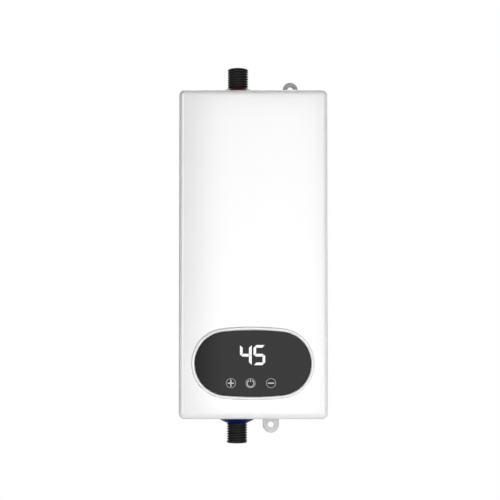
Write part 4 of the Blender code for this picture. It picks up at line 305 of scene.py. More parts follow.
def combined(
    name: str, base: bpy.types.Mesh, added: list[bpy.types.Mesh], cut: list[bpy.types.Mesh]
) -> bpy.types.Mesh:
    """Fuse meshes to a base, then cut others out of it.

    Args:
        name: Name of the result.
        base: The mesh that is worked on.
        added: Meshes that are fused to it.
        cut: Meshes that are cut out.

    Returns:
        The worked mesh.
    """
    target = linked(name, base)
    helpers: list[bpy.types.Object] = []
    for operation, meshes in (("UNION", added), ("DIFFERENCE", cut)):
        for index, mesh in enumerate(meshes):
            helper = linked(name + "_tool", mesh)
            helpers.append(helper)
            step = target.modifiers.new(f"{operation} {index}", "BOOLEAN")
            step.operation = operation
            step.solver = "EXACT"
            step.object = helper
    result = plain_mesh(target)
    for helper in helpers + [target]:
        bpy.data.objects.remove(helper)
    result.name = name
    return result


def inset(outline: list[Pair], gap: float) -> list[Pair]:
    """Move each side of a convex outline inwards.

    Args:
        outline: Corners of the outline, either way round.
        gap: How far each side moves.

    Returns:
        The smaller outline.
    """
    middle = Vector((sum(x for x, _ in outline), sum(z for _, z in outline))) / len(outline)
    points = [Vector(point) for point in outline]
    result: list[Pair] = []
    for index, corner in enumerate(points):
        before = (corner - points[index - 1]).normalized()
        after = (points[(index + 1) % len(points)] - corner).normalized()
        sides = []
        for along in (before, after):
            inwards = Vector((-along.y, along.x))
            sides.append(inwards if inwards.dot(middle - corner) > 0 else -inwards)
        lean = (sides[0] + sides[1]).normalized()
        moved = corner + lean * (gap / max(lean.dot(sides[0]), MITRE_LIMIT))
        result.append((moved.x, moved.y))
    return result


# Node helpers


def add_node(
    tree: bpy.types.NodeTree, kind: str, inputs: dict[str | int, object], **settings: object
) -> bpy.types.Node:
    """Add a node to a tree.

    Args:
        tree: The tree.
        kind: The node's type.
        inputs: Sockets to link or values to set, by the input's name or number.
        **settings: The node's own settings, made before its inputs.

    Returns:
        The node.
    """
    node = tree.nodes.new(kind)
    for name, value in settings.items():
        setattr(node, name, value)
    for key, value in inputs.items():
        if isinstance(value, bpy.types.NodeSocket):
            tree.links.new(value, node.inputs[key])
        else:
            node.inputs[key].default_value = value
    return node


def geometry_tree(
    name: str, inputs: dict[str, str]
) -> tuple[bpy.types.NodeTree, bpy.types.Node, bpy.types.Node]:
    """Return a new geometry tree.

    Args:
        name: Name of the tree.
        inputs: Name and socket type of each input besides the geometry.

    Returns:
        The tree, its input node and its output node.
    """
    tree = bpy.data.node_groups.new(name, "GeometryNodeTree")
    for label, kind in {"Geometry": "NodeSocketGeometry", **inputs}.items():
        tree.interface.new_socket(name=label, in_out="INPUT", socket_type=kind)
    tree.interface.new_socket(name="Geometry", in_out="OUTPUT", socket_type="NodeSocketGeometry")
    return tree, tree.nodes.new("NodeGroupInput"), tree.nodes.new("NodeGroupOutput")


def close_tree(
    tree: bpy.types.NodeTree,
    geometry: bpy.types.NodeSocket,
    material: bpy.types.Material,
    end: bpy.types.Node,
) -> None:
    """End a geometry tree with real instances and a material.

    Args:
        tree: The tree.
        geometry: Socket of its finished geometry.
        material: Material that the tree sets.
        end: The tree's output node.
    """
    realize = add_node(tree, "GeometryNodeRealizeInstances", {0: geometry})
    paint = add_node(tree, "GeometryNodeSetMaterial", {"Geometry": realize.outputs[0], "Material": material})
    tree.links.new(paint.outputs[0], end.inputs[0])


def through_tree(
    name: str, mesh: bpy.types.Mesh, tree: bpy.types.NodeTree, sizes: dict[str, object]
) -> bpy.types.Mesh:
    """Run a mesh through a geometry tree.

    Args:
        name: Name of the helper object.
        mesh: The mesh.
        tree: The tree.
        sizes: Values of the tree's named inputs.

    Returns:
        The tree's result as a plain mesh.
    """
    holder = linked(name, mesh)
    modifier = holder.modifiers.new(name, "NODES")
    modifier.node_group = tree
    for item in tree.interface.items_tree:
        if item.in_out == "INPUT" and item.name in sizes:
            modifier[item.identifier] = sizes[item.name]
    result = plain_mesh(holder)
    bpy.data.objects.remove(holder)
    return result


# Shader groups and finishes


class Pattern(Enum):
    """What a surface's fine pattern looks like."""

    MOULDED = "moulded"
    BRUSHED = "brushed"
    BOARD = "board"
    WOUND = "wound"


class Shelf:
    """Builds each shader group once and keeps it."""

    def __init__(self) -> None:
        """Start with an empty shelf."""
        self.groups: dict[Pattern, bpy.types.NodeTree] = {}

    def group(self, pattern: Pattern) -> bpy.types.NodeTree:
        """Return the shader group of a pattern, built at its first use."""
        if pattern not in self.groups:
            makers = {
                Pattern.MOULDED: self.moulded,
                Pattern.BRUSHED: self.brushed,
                Pattern.BOARD: self.board,
                Pattern.WOUND: self.wound,
            }
            self.groups[pattern] = makers[pattern]()
        return self.groups[pattern]

    @staticmethod
    def tree(name: str) -> tuple[bpy.types.NodeTree, bpy.types.Node, bpy.types.Node]:
        """Return a group tree with the sockets that all patterns share.

        Args:
            name: Name of the group.

        Returns:
            The tree, its input node and its output node.
        """
        tree = bpy.data.node_groups.new(name, "ShaderNodeTree")
        tree.interface.new_socket(name="Vector", in_out="INPUT", socket_type="NodeSocketVector")
        for label in ("Colour", "Second colour"):
            tree.interface.new_socket(name=label, in_out="INPUT", socket_type="NodeSocketColor")
        for label in ("Roughness", "Spread", "Scale"):
            tree.interface.new_socket(name=label, in_out="INPUT", socket_type="NodeSocketFloat")
        tree.interface.new_socket(name="Colour", in_out="OUTPUT", socket_type="NodeSocketColor")
        tree.interface.new_socket(name="Roughness", in_out="OUTPUT", socket_type="NodeSocketFloat")
        tree.interface.new_socket(name="Height", in_out="OUTPUT", socket_type="NodeSocketFloat")
        return tree, tree.nodes.new("NodeGroupInput"), tree.nodes.new("NodeGroupOutput")

    @staticmethod
    def finish_group(
        tree: bpy.types.NodeTree,
        start: bpy.types.Node,
        end: bpy.types.Node,
        mask: bpy.types.NodeSocket,
        fine: bpy.types.NodeSocket,
    ) -> bpy.types.NodeTree:
        """Wire a colour mask and a fine noise to the group's three outputs.

        Args:
            tree: The group.
            start: Its input node.
            end: Its output node.
            mask: Value that mixes the two colours.
            fine: Value that drives roughness and height.

        Returns:
            The finished group.
        """
        colours = {"A": start.outputs["Colour"], "B": start.outputs["Second colour"]}
        mix = add_node(tree, "ShaderNodeMix", {"Factor": mask, **colours}, data_type="RGBA")
        gloss = {0: fine, 1: start.outputs["Spread"], 2: start.outputs["Roughness"]}
        spread = add_node(tree, "ShaderNodeMath", gloss, operation="MULTIPLY_ADD")
        results = {"Colour": mix.outputs["Result"], "Roughness": spread.outputs[0], "Height": fine}
        for label, value in results.items():
            tree.links.new(value, end.inputs[label])
        return tree

    @staticmethod
    def noise(
        tree: bpy.types.NodeTree,
        vector: bpy.types.NodeSocket,
        scale: bpy.types.NodeSocket,
        share: float,
        detail: float,
    ) -> bpy.types.NodeSocket:
        """Add a noise whose scale is a share of the group's scale.

        Args:
            tree: The group.
            vector: Socket of the place.
            scale: Socket of the group's scale.
            share: Share of that scale.
            detail: Detail of the noise.

        Returns:
            The noise's value.
        """
        size = add_node(tree, "ShaderNodeMath", {0: scale, 1: share}, operation="MULTIPLY")
        inputs = {"Vector": vector, "Scale": size.outputs[0], "Detail": detail}
        return add_node(tree, "ShaderNodeTexNoise", inputs).outputs["Fac"]

    def moulded(self) -> bpy.types.NodeTree:
        """Return the group of moulded plastic and rubber: a fine grain and slow mottling."""
        tree, start, end = self.tree("moulded_surface")
        place, scale = start.outputs["Vector"], start.outputs["Scale"]
        mask = self.noise(tree, place, scale, 0.03, 2.0)
        fine = self.noise(tree, place, scale, 1.0, 3.0)
        return self.finish_group(tree, start, end, mask, fine)

    def brushed(self) -> bpy.types.NodeTree:
        """Return the group of drawn or brushed metal: streaks along one way."""
        tree, start, end = self.tree("brushed_surface")
        place, scale = start.outputs["Vector"], start.outputs["Scale"]
        stretch = add_node(tree, "ShaderNodeMapping", {"Vector": place, "Scale": (1.0, 1.0, 14.0)})
        mask = self.noise(tree, place, scale, 0.15, 3.0)
        fine = self.noise(tree, stretch.outputs["Vector"], scale, 1.0, 4.0)
        return self.finish_group(tree, start, end, mask, fine)

    def board(self) -> bpy.types.NodeTree:
        """Return the group of a circuit board: copper tracks that show through the solder mask."""
        tree, start, end = self.tree("board_surface")
        place, scale = start.outputs["Vector"], start.outputs["Scale"]
        inputs = {"Vector": place, "Scale": scale, "Randomness": 0.85}
        cells = add_node(tree, "ShaderNodeTexVoronoi", inputs, distance="CHEBYCHEV", feature="F1")
        folds = {0: cells.outputs["Distance"], 1: 0.11}
        bands = add_node(tree, "ShaderNodeMath", folds, operation="PINGPONG")
        limits = {"Value": bands.outputs[0], "From Min": 0.05, "From Max": 0.06}
        tracks = add_node(tree, "ShaderNodeMapRange", limits).outputs[0]
        fine = self.noise(tree, place, scale, 12.0, 2.0)
        total = add_node(tree, "ShaderNodeMath", {0: fine, 1: 0.2, 2: tracks}, operation="MULTIPLY_ADD")
        return self.finish_group(tree, start, end, tracks, total.outputs[0])

    def wound(self) -> bpy.types.NodeTree:
        """Return the group of a winding or a ribbon: even bands side by side."""
        tree, start, end = self.tree("wound_surface")
        inputs = {"Distortion": 0.4, "Detail": 1.0}
        inputs |= {label: start.outputs[label] for label in ("Vector", "Scale")}
        bands = add_node(tree, "ShaderNodeTexWave", inputs, bands_direction="X").outputs["Fac"]
        return self.finish_group(tree, start, end, bands, bands)


SHELF = Shelf()


@dataclass(frozen=True)
class Finish:
    """One surface finish: its colours, gloss and fine pattern."""

    name: str
    colour: Colour
    second: Colour
    roughness: float
    spread: float = 0.08
    metallic: float = 0.0
    pattern: Pattern = Pattern.MOULDED
    scale: float = 1500.0
    depth: float = 0.00002
    strength: float = 0.25
    specular: float = 0.5
    coat: float = 0.0

    def material(self) -> bpy.types.Material:
        """Return the finish's material, built at its first use."""
        title = f"{self.name}_finish"
        found = bpy.data.materials.get(title)
        if found:
            return found
        material = bpy.data.materials.new(title)
        material.use_nodes = True
        tree = material.node_tree
        shader = tree.nodes["Principled BSDF"]
        fixed = {
            "Metallic": self.metallic,
            "Specular IOR Level": self.specular,
            "Coat Weight": self.coat,
            "Coat Roughness": COAT_ROUGHNESS,
        }
        for label, value in fixed.items():
            shader.inputs[label].default_value = value
        place = tree.nodes.new("ShaderNodeTexCoord")
        inputs = {
            "Vector": place.outputs["Object"],
            "Colour": (*self.colour, 1.0),
            "Second colour": (*self.second, 1.0),
            "Roughness": self.roughness - self.spread / 2,
            "Spread": self.spread,
            "Scale": self.scale,
        }
        surface = add_node(tree, "ShaderNodeGroup", inputs, node_tree=SHELF.group(self.pattern))
        relief = {"Height": surface.outputs["Height"], "Distance": self.depth, "Strength": self.strength}
        bump = add_node(tree, "ShaderNodeBump", relief)
        tree.links.new(surface.outputs["Colour"], shader.inputs["Base Color"])
        tree.links.new(surface.outputs["Roughness"], shader.inputs["Roughness"])
        tree.links.new(bump.outputs["Normal"], shader.inputs["Normal"])
        self.extend(tree, shader, surface)
        return material

    def extend(self, tree: bpy.types.NodeTree, shader: bpy.types.Node, surface: bpy.types.Node) -> None:
        """Add what only this kind of finish has; a plain finish has nothing more."""


@dataclass(frozen=True)
class Glowing(Finish):
    """A lit sign: a dark surface that gives off light of the finish's colour."""

    glow: float = 1.0
    unlit: Colour = (0.020, 0.020, 0.020)

    def extend(self, tree: bpy.types.NodeTree, shader: bpy.types.Node, surface: bpy.types.Node) -> None:
        """Feed the surface's colour to the emission in place of the base colour.

        Args:
            tree: The material's tree.
            shader: Its Principled shader.
            surface: Its surface group.
        """
        for link in list(shader.inputs["Base Color"].links):
            tree.links.remove(link)
        shader.inputs["Base Color"].default_value = (*self.unlit, 1.0)
        shader.inputs["Emission Strength"].default_value = self.glow
        tree.links.new(surface.outputs["Colour"], shader.inputs["Emission Color"])


@dataclass(frozen=True)
class PaleFloor(Finish):
    """The studio floor, lifted towards white where the camera sees it, with its shadows kept."""

    lift: float = 0.52

    def extend(self, tree: bpy.types.NodeTree, shader: bpy.types.Node, surface: bpy.types.Node) -> None:
        """Add a plain glow that only the camera sees.

        Args:
            tree: The material's tree.
            shader: Its Principled shader.
            surface: Its surface group; not used.
        """
        path = tree.nodes.new("ShaderNodeLightPath")
        glow = add_node(tree, "ShaderNodeEmission", {"Strength": self.lift})
        none = add_node(tree, "ShaderNodeEmission", {"Strength": 0.0})
        choice = {0: path.outputs["Is Camera Ray"], 1: none.outputs[0], 2: glow.outputs[0]}
        pick = add_node(tree, "ShaderNodeMixShader", choice)
        total = add_node(tree, "ShaderNodeAddShader", {0: shader.outputs[0], 1: pick.outputs[0]})
        tree.links.new(total.outputs[0], tree.nodes["Material Output"].inputs["Surface"])


COVER_WHITE = Finish("cover_white", (0.880, 0.880, 0.882), (0.874, 0.874, 0.877), 0.085, 0.02, scale=2600.0,
                     depth=0.000001, strength=0.04, specular=0.40)
TRAY_GREY = Finish("tray_grey", (0.62, 0.62, 0.625), (0.59, 0.59, 0.60), 0.50, 0.10, scale=2200.0,
                   specular=0.30)
BEZEL_WHITE = Finish("bezel_white", (0.85, 0.85, 0.855), (0.83, 0.83, 0.835), 0.16, 0.04, scale=3000.0,
                     depth=0.000004, strength=0.08, specular=0.40, coat=0.2)
SMOKED_LENS = Finish("smoked_lens", (0.0115, 0.0115, 0.0115), (0.0105, 0.0105, 0.0108), 0.05, 0.02,
                     scale=900.0, depth=0.000001, strength=0.04, specular=0.06)
BLACK_NYLON = Finish("black_nylon", (0.016, 0.016, 0.017), (0.012, 0.012, 0.013), 0.42, 0.12, scale=2400.0,
                     depth=0.00003, strength=0.3, specular=0.20)
COLLAR_BLUE = Finish("collar_blue", (0.003, 0.008, 0.105), (0.002, 0.006, 0.085), 0.36, 0.08, scale=2400.0,
                     specular=0.07)
COLLAR_RED = Finish("collar_red", (0.085, 0.006, 0.009), (0.062, 0.004, 0.006), 0.38, 0.08, scale=2400.0,
                    specular=0.10)
BLACK_RUBBER = Finish("black_rubber", (0.020, 0.020, 0.020), (0.030, 0.030, 0.029), 0.78, 0.10, scale=1600.0,
                      depth=0.00005)
GASKET_RUBBER = Finish("gasket_rubber", (0.080, 0.080, 0.085), (0.055, 0.055, 0.060), 0.80, 0.10,
                       scale=1800.0)
ZINC_STEEL = Finish("zinc_screw", (0.60, 0.60, 0.62), (0.50, 0.50, 0.53), 0.30, 0.14, 1.0,
                    Pattern.BRUSHED, 500.0)
STRAINER_PLASTIC = Finish("strainer_plastic", (0.78, 0.78, 0.77), (0.70, 0.70, 0.69), 0.50, 0.10,
                          scale=2500.0)
DIGIT_WHITE = Glowing("digit_glow", (0.98, 0.98, 0.98), (0.94, 0.94, 0.95), 0.40, 0.05, scale=900.0,
                      specular=0.2)
SIGN_BRIGHT = Glowing("sign_bright", (0.56, 0.56, 0.56), (0.52, 0.52, 0.53), 0.45, 0.05, scale=900.0,
                      specular=0.2)
SIGN_RING = Glowing("sign_ring", (0.32, 0.32, 0.32), (0.29, 0.29, 0.30), 0.45, 0.05, scale=900.0,
                    specular=0.2)
FLOOR_PAPER = PaleFloor("floor_paper", (0.60, 0.60, 0.60), (0.57, 0.57, 0.57), 0.90, 0.04, scale=60.0)

PLAIN_FINISHES = {finish.name: finish for finish in (
    GASKET_RUBBER,
    BLACK_RUBBER,
    BLACK_NYLON,
    ZINC_STEEL,
    Finish("circuit_board", (0.010, 0.085, 0.035), (0.022, 0.150, 0.060), 0.38, 0.10,
           pattern=Pattern.BOARD, scale=95.0, depth=0.00004, strength=0.5, coat=0.3),
    Finish("digit_module", (0.030, 0.030, 0.032), (0.022, 0.022, 0.024), 0.42),
    Finish("spring_steel", (0.70, 0.70, 0.70), (0.60, 0.60, 0.61), 0.26, 0.10, 1.0, Pattern.BRUSHED, 900.0),
    Finish("chip_black", (0.022, 0.022, 0.023), (0.030, 0.030, 0.031), 0.50, 0.12, scale=2600.0),
    Finish("acetal_white", (0.78, 0.78, 0.75), (0.72, 0.72, 0.69), 0.42),
    Finish("rotor_plastic", (0.86, 0.86, 0.80), (0.78, 0.78, 0.73), 0.40),
    Finish("axle_steel", (0.76, 0.76, 0.78), (0.70, 0.70, 0.72), 0.16, 0.06, 1.0, Pattern.BRUSHED, 1500.0),
    Finish("tank_steel", (0.62, 0.62, 0.63), (0.52, 0.52, 0.54), 0.28, 0.12, 1.0, Pattern.BRUSHED, 350.0),
    Finish("element_steel", (0.42, 0.41, 0.40), (0.30, 0.28, 0.27), 0.36, 0.14, 1.0, Pattern.BRUSHED, 500.0),
    Finish("strap_steel", (0.64, 0.64, 0.66), (0.55, 0.55, 0.58), 0.34, 0.12, 1.0, Pattern.BRUSHED, 420.0),
    Finish("button_red", (0.52, 0.020, 0.016), (0.42, 0.014, 0.012), 0.36),
    Finish("probe_brass", (0.72, 0.52, 0.22), (0.58, 0.40, 0.16), 0.30, 0.12, 1.0, Pattern.BRUSHED, 600.0),
    Finish("relay_blue", (0.030, 0.090, 0.330), (0.022, 0.070, 0.270), 0.36),
    Finish("transformer_core", (0.640, 0.470, 0.080), (0.520, 0.370, 0.060), 0.48, pattern=Pattern.WOUND,
           scale=220.0),
    Finish("capacitor_sleeve", (0.030, 0.040, 0.110), (0.022, 0.030, 0.085), 0.28, coat=0.4),
    Finish("terminal_green", (0.050, 0.300, 0.090), (0.038, 0.240, 0.070), 0.46),
    Finish("sink_aluminium", (0.78, 0.78, 0.79), (0.68, 0.68, 0.70), 0.34, 0.14, 1.0, Pattern.BRUSHED, 380.0),
    Finish("lead_red", (0.46, 0.020, 0.016), (0.38, 0.015, 0.012), 0.42),
    Finish("lead_brown", (0.190, 0.085, 0.035), (0.150, 0.065, 0.026), 0.42),
    Finish("lead_blue", (0.018, 0.050, 0.320), (0.013, 0.038, 0.250), 0.42),
    Finish("lead_black", (0.022, 0.022, 0.022), (0.030, 0.030, 0.030), 0.45),
    Finish("lead_yellow", (0.720, 0.600, 0.040), (0.600, 0.490, 0.030), 0.42),
    Finish("lead_green", (0.090, 0.380, 0.040), (0.520, 0.480, 0.040), 0.42, pattern=Pattern.WOUND,
           scale=60.0),
    Finish("ribbon_grey", (0.52, 0.52, 0.54), (0.40, 0.40, 0.42), 0.46, pattern=Pattern.WOUND, scale=390.0,
           depth=0.0001),
)}


def add_piece(
    name: str,
    mesh: bpy.types.Mesh,
    finish: Finish,
    replaced: tuple[str, ...] = (),
    body: str = "heater",
    smooth: bool = True,
) -> bpy.types.Object:
    """Put a finished mesh in the scene as a piece of the object.

    Args:
        name: Name of the piece.
        mesh: Its mesh, already in place.
        finish: Its surface finish.
        replaced: Assembly nodes that it stands for.
        body: Body that it rides on.
        smooth: Whether its shallow edges are shaded smooth.

    Returns:
        The piece.
    """
    mesh.materials.clear()
    mesh.materials.append(finish.material())
    for polygon in mesh.polygons:
        polygon.material_index = 0
    if smooth:
        mesh.shade_smooth()
        mesh.set_sharp_from_angle(angle=SMOOTH_ANGLE)
    mesh.name = name
    piece = linked(name, mesh)
    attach(piece, body)
    if replaced:
        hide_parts(*replaced)
    LOG.info("%s: %d faces on %s", name, len(mesh.polygons), body)
    return piece


def centre(node: str) -> Vector:
    """Return the middle of an assembly node's box."""
    low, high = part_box(node)
    return (Vector(low) + Vector(high)) / 2


# Sub-assemblies


@dataclass
class DisplayOutline:
    """Outline of the display window: two end arcs joined by shallow crowns."""

    half_width: float = 0.05755
    half_height: float = 0.03277
    end_radius: float = 0.03137
    centre_x: float = -0.00035
    centre_z: float = -0.10856
    end_steps: int = 56
    crown_steps: int = 40

    def points(self, grow: float = 0.0) -> list[Pair]:
        """Return the outline in x and z, moved out by a distance.

        Args:
            grow: How far the outline moves outwards.

        Returns:
            The outline's points, counter-clockwise.
        """
        end_x = self.half_width - self.end_radius
        rise = self.half_height - self.end_radius
        crown_radius = (end_x**2 + self.half_height**2 - self.end_radius**2) / (2 * rise)
        drop = crown_radius - self.half_height
        tilt = math.atan2(end_x, drop)
        quarter = math.pi / 2
        right = arc((end_x, 0.0), self.end_radius + grow, tilt - quarter, quarter - tilt, self.end_steps)
        top = arc((0.0, -drop), crown_radius + grow, quarter - tilt, quarter + tilt, self.crown_steps)[1:-1]
        half = right + top
        whole = half + [(-x, -z) for x, z in half]
        return [(x + self.centre_x, z + self.centre_z) for x, z in whole]


@dataclass
class FrontCover:
    """The white front shell with its filleted edges, its window and its screw pillars."""

    outline: DisplayOutline
    wall: float = 0.0022
    corner: float = 0.0060
    least_corner: float = 0.00035
    fillet: float = 0.0056
    edge_support: float = 0.0006
    rim_chamfer: float = 0.0002
    window_grow: float = 0.0034
    window_round: float = 0.0001
    slot_radius: float = 0.0140
    slot_steps: int = 48
    pillar_radius: float = 0.0040
    pillar_bore: float = 0.0017
    pillar_depth: float = 0.0150
    pillar_end: float = -0.0063
    bore_end: float = -0.0050
    steps: int = 14

    def shell(self) -> bpy.types.Mesh:
        """Return the closed shell: round corners, a filleted front edge and an even wall."""
        low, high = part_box("front_cover")
        half_width = (high[0] - low[0]) / 2
        half_height = (high[2] - low[2]) / 2
        front, rear = low[1], high[1]
        rows: list[Pair] = [(self.fillet + self.edge_support, front)]
        rows += [(depth, front + rise) for depth, rise in quarter(self.fillet, self.steps)]
        rows += [(0.0, front + self.fillet + self.edge_support), (0.0, rear - self.edge_support)]
        rows += [(self.rim_chamfer, rear), (self.wall, rear)]
        inner = reversed(quarter(self.fillet - self.wall, self.steps // 2))
        rows += [(self.wall + depth, front + self.wall + rise) for depth, rise in inner]
        loops = []
        for depth, y in rows:
            corner = max(self.corner - depth, self.least_corner)
            ring = round_rectangle(half_width - depth, half_height - depth, corner, self.steps)
            loops.append(upright(ring, y))
        return loft("cover_shell", loops)

    def build(self) -> None:
        """Build and dress the cover."""
        low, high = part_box("front_cover")
        front, rear = low[1], high[1]
        added: list[bpy.types.Mesh] = []
        cut: list[bpy.types.Mesh] = []
        bore_front = self.pillar_end - self.pillar_depth
        for index in range(4):
            x, _, z = centre(f"cover_screw_{index + 1}")
            added.append(pin("pillar", self.pillar_radius, x, z, front + self.wall / 2, self.pillar_end))
            cut.append(pin("bore", self.pillar_bore, x, z, bore_front, self.bore_end))
        grow = self.window_grow
        steps = (
            (grow + self.window_round, front - OVERRUN),
            (grow + self.window_round, front),
            (grow, front + self.window_round),
            (grow, front + self.wall + OVERRUN),
        )
        cut.append(loft("window", [upright(self.outline.points(wider), y) for wider, y in steps]))
        for node, side in (("outlet_spigot", 1), ("inlet_spigot", -1)):
            port = centre(node)
            end = high[2] if side > 0 else low[2]
            ring = arc((port.x, port.y), self.slot_radius, math.pi, 2 * math.pi, self.slot_steps)
            ring += [(port.x + reach, rear + OVERRUN) for reach in (self.slot_radius, -self.slot_radius)]
            offsets = (self.wall + OVERRUN, -OVERRUN)
            cut.append(loft("slot", [[(x, y, end - side * offset) for x, y in ring] for offset in offsets]))
        mesh = combined("cover_shell", self.shell(), added, cut)
        add_piece("cover_shell", mesh, COVER_WHITE, ("front_cover",))


@dataclass
class RearTray:
    """The grey rear shell: rim and lip, fixing ears, cradles for the pipes, saddles, bosses and hooks."""

    half_width: float = 0.0740
    half_height: float = 0.1640
    wall: float = 0.0028
    corner: float = 0.0060
    least_corner: float = 0.0008
    edge_round: float = 0.0034
    edge_support: float = 0.0005
    rim_chamfer: float = 0.0002
    lip_gap: float = 0.0025
    lip_wall: float = 0.0016
    lip_reach: float = 0.0040
    seam_y: float = -0.0090
    ear_front: float = -0.0035
    ear_rear: float = -0.0005
    ear_hole: float = 0.0030
    ear_brow: float = 0.0011
    ear_curve: tuple[Pair, ...] = ((1.0, 0.0), (0.62, 0.08), (0.29, 0.29), (0.08, 0.62), (0.0, 1.0))
    ear_steps: int = 40
    hole_steps: int = 48
    cradle_steps: int = 28
    ear_soft: float = 0.0005
    ear_sink: float = 0.0012
    ear_land: float = 0.0002
    ears: tuple[tuple[float, float, float, int], ...] = (
        (0.0386, 0.0077, 0.0095, 1),
        (0.0182, 0.0084, 0.0102, -1),
    )
    pipe_ribs: tuple[tuple[float, float, float, float, float], ...] = (
        (0.1560 + 0.0033, 0.0118, 0.0140, 0.0030, 0.0003),
        (0.1560 - 0.0033, 0.0118, 0.0140, 0.0030, 0.0003),
        (0.1640 - 0.00065, 0.0140, 0.0137, 0.0013, 0.0060),
    )
    tank_notch: float = 0.0208
    tank_rib_half: float = 0.0175
    tank_rib_rise: float = 0.0160
    tank_rib: float = 0.0030
    clamp_foot: float = 0.0010
    clamp_boss: float = 0.0030
    clamp_bore_depth: float = 0.0060
    hook_reach: float = 0.0053
    hook_gap: float = 0.0006
    hook_wall: float = 0.0020
    pilot: float = 0.0017
    board_inset: float = 0.0050
    standoff: float = 0.0030
    board_pin: float = 0.0012
    board_pin_rise: float = 0.0032
    screw_boss: Pair = (0.0058, -0.0060)
    screw_sink: Pair = (0.0038, -0.0032)
    screw_bore_front: float = -0.0070
    grommet_boss: Pair = (0.0118, -0.0051)
    grommet_sinks: tuple[Pair, ...] = ((0.0098, -0.0026), (0.0073, -0.0061))
    steps: int = 12

    def floor_y(self) -> float:
        """Return the depth at which ribs and bosses are sunk into the tray's floor."""
        return -self.wall + FUSE_DEPTH

    def shell(self) -> bpy.types.Mesh:
        """Return the tray's floor, rim and sealing lip as one closed shell."""
        rows: list[Pair] = [(self.edge_round + self.edge_support, 0.0)]
        rows += [(depth, -rise) for depth, rise in quarter(self.edge_round, self.steps)]
        seam, soft = self.seam_y, self.edge_support / 2
        lip_out, lip_in, lip_front = self.lip_gap, self.lip_gap + self.lip_wall, seam - self.lip_reach
        rows += [(0.0, seam + self.edge_support), (self.rim_chamfer, seam), (lip_out, seam)]
        rows += [(lip_out, lip_front + soft), (lip_out + soft, lip_front)]
        rows += [(lip_in, lip_front), (lip_in, -self.wall)]
        loops = []
        for depth, y in rows:
            corner = max(self.corner - depth, self.least_corner)
            ring = round_rectangle(self.half_width - depth, self.half_height - depth, corner, self.steps)
            loops.append(upright(ring, y))
        return loft("rear_tray", loops)

    def ear(self, x: float, radius: float, reach: float, side: int) -> bpy.types.Mesh:
        """Return one fixing ear with its screw hole and softened edges.

        Args:
            x: Its middle.
            radius: Radius of its round end.
            reach: Height of the hole above the casing's end.
            side: 1 above the casing, -1 below.

        Returns:
            The ear's mesh.
        """
        edge, root = side * self.half_height, -self.wall + FUSE_DEPTH
        front, rear, brow = self.ear_front, self.ear_rear, self.ear_brow
        rows = [(brow * depth, front + brow * rise) for depth, rise in self.ear_curve]
        rows += [(0.0, rear - self.ear_soft), (self.ear_soft, rear)]
        tongues = []
        for shrink, y in rows:
            ring = arc((0.0, reach), radius - shrink, 0.0, math.pi, self.ear_steps)
            ring += [(-radius + shrink, root), (radius - shrink, root)]
            tongues.append([(x + px, y, edge + side * pz) for px, pz in ring])
        tongue = loft("ear", tongues)
        rows = [(self.ear_sink, front - OVERRUN), (0.0, front + self.ear_land)]
        rows += [(0.0, rear - self.ear_land), (self.ear_sink, rear + OVERRUN)]
        hole = []
        for grow, y in rows:
            ring = arc((0.0, reach), self.ear_hole + grow, 0.0, 2 * math.pi, self.hole_steps)[:-1]
            hole.append([(x + px, y, edge + side * pz) for px, pz in ring])
        return combined("ear", tongue, [], [loft("ear_hole", hole)])

    def cradle(
        self, axis: Vector, radius: float, half_width: float, top_y: float, thickness: float
    ) -> bpy.types.Mesh:
        """Return a rib with a round notch under a pipe or the tank.

        Args:
            axis: A point of the pipe's axis, at the rib's height.
            radius: Radius of the notch.
            half_width: Half of the rib's width.
            top_y: Depth of the rib's front.
            thickness: Its thickness along Z.

        Returns:
            The rib's mesh.
        """
        top, foot = top_y - axis.y, self.floor_y() - axis.y
        start = math.atan2(top, math.sqrt(radius**2 - top**2))
        outline = [(half_width, foot), (half_width, top)]
        outline += arc((0.0, 0.0), radius, start, math.pi - start, self.cradle_steps)
        outline += [(-half_width, top), (-half_width, foot)]
        low = [(axis.x + px, axis.y + py, axis.z - thickness / 2) for px, py in outline]
        high = [(x, y, z + thickness) for x, y, z in low]
        return loft("cradle", [low, high])

    def hook(self, clamp: str) -> bpy.types.Mesh:
        """Return the lug that holds the left foot of a tank clamp."""
        low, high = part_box(clamp)
        toe = high[1] + CLEARANCE
        roof = high[1] - self.clamp_foot - CLEARANCE
        right = low[0] + self.hook_reach - self.hook_gap
        left = low[0] - CLEARANCE
        outer, crown, floor = left - self.hook_wall, roof - self.hook_wall, self.floor_y()
        outline = [(outer, floor), (outer, crown), (right, crown), (right, roof)]
        outline += [(left, roof), (left, toe), (right, toe), (right, floor)]
        ends = (low[2] - self.hook_wall, high[2] + self.hook_wall)
        return loft("hook", [[(x, y, z) for x, y in outline] for z in ends])

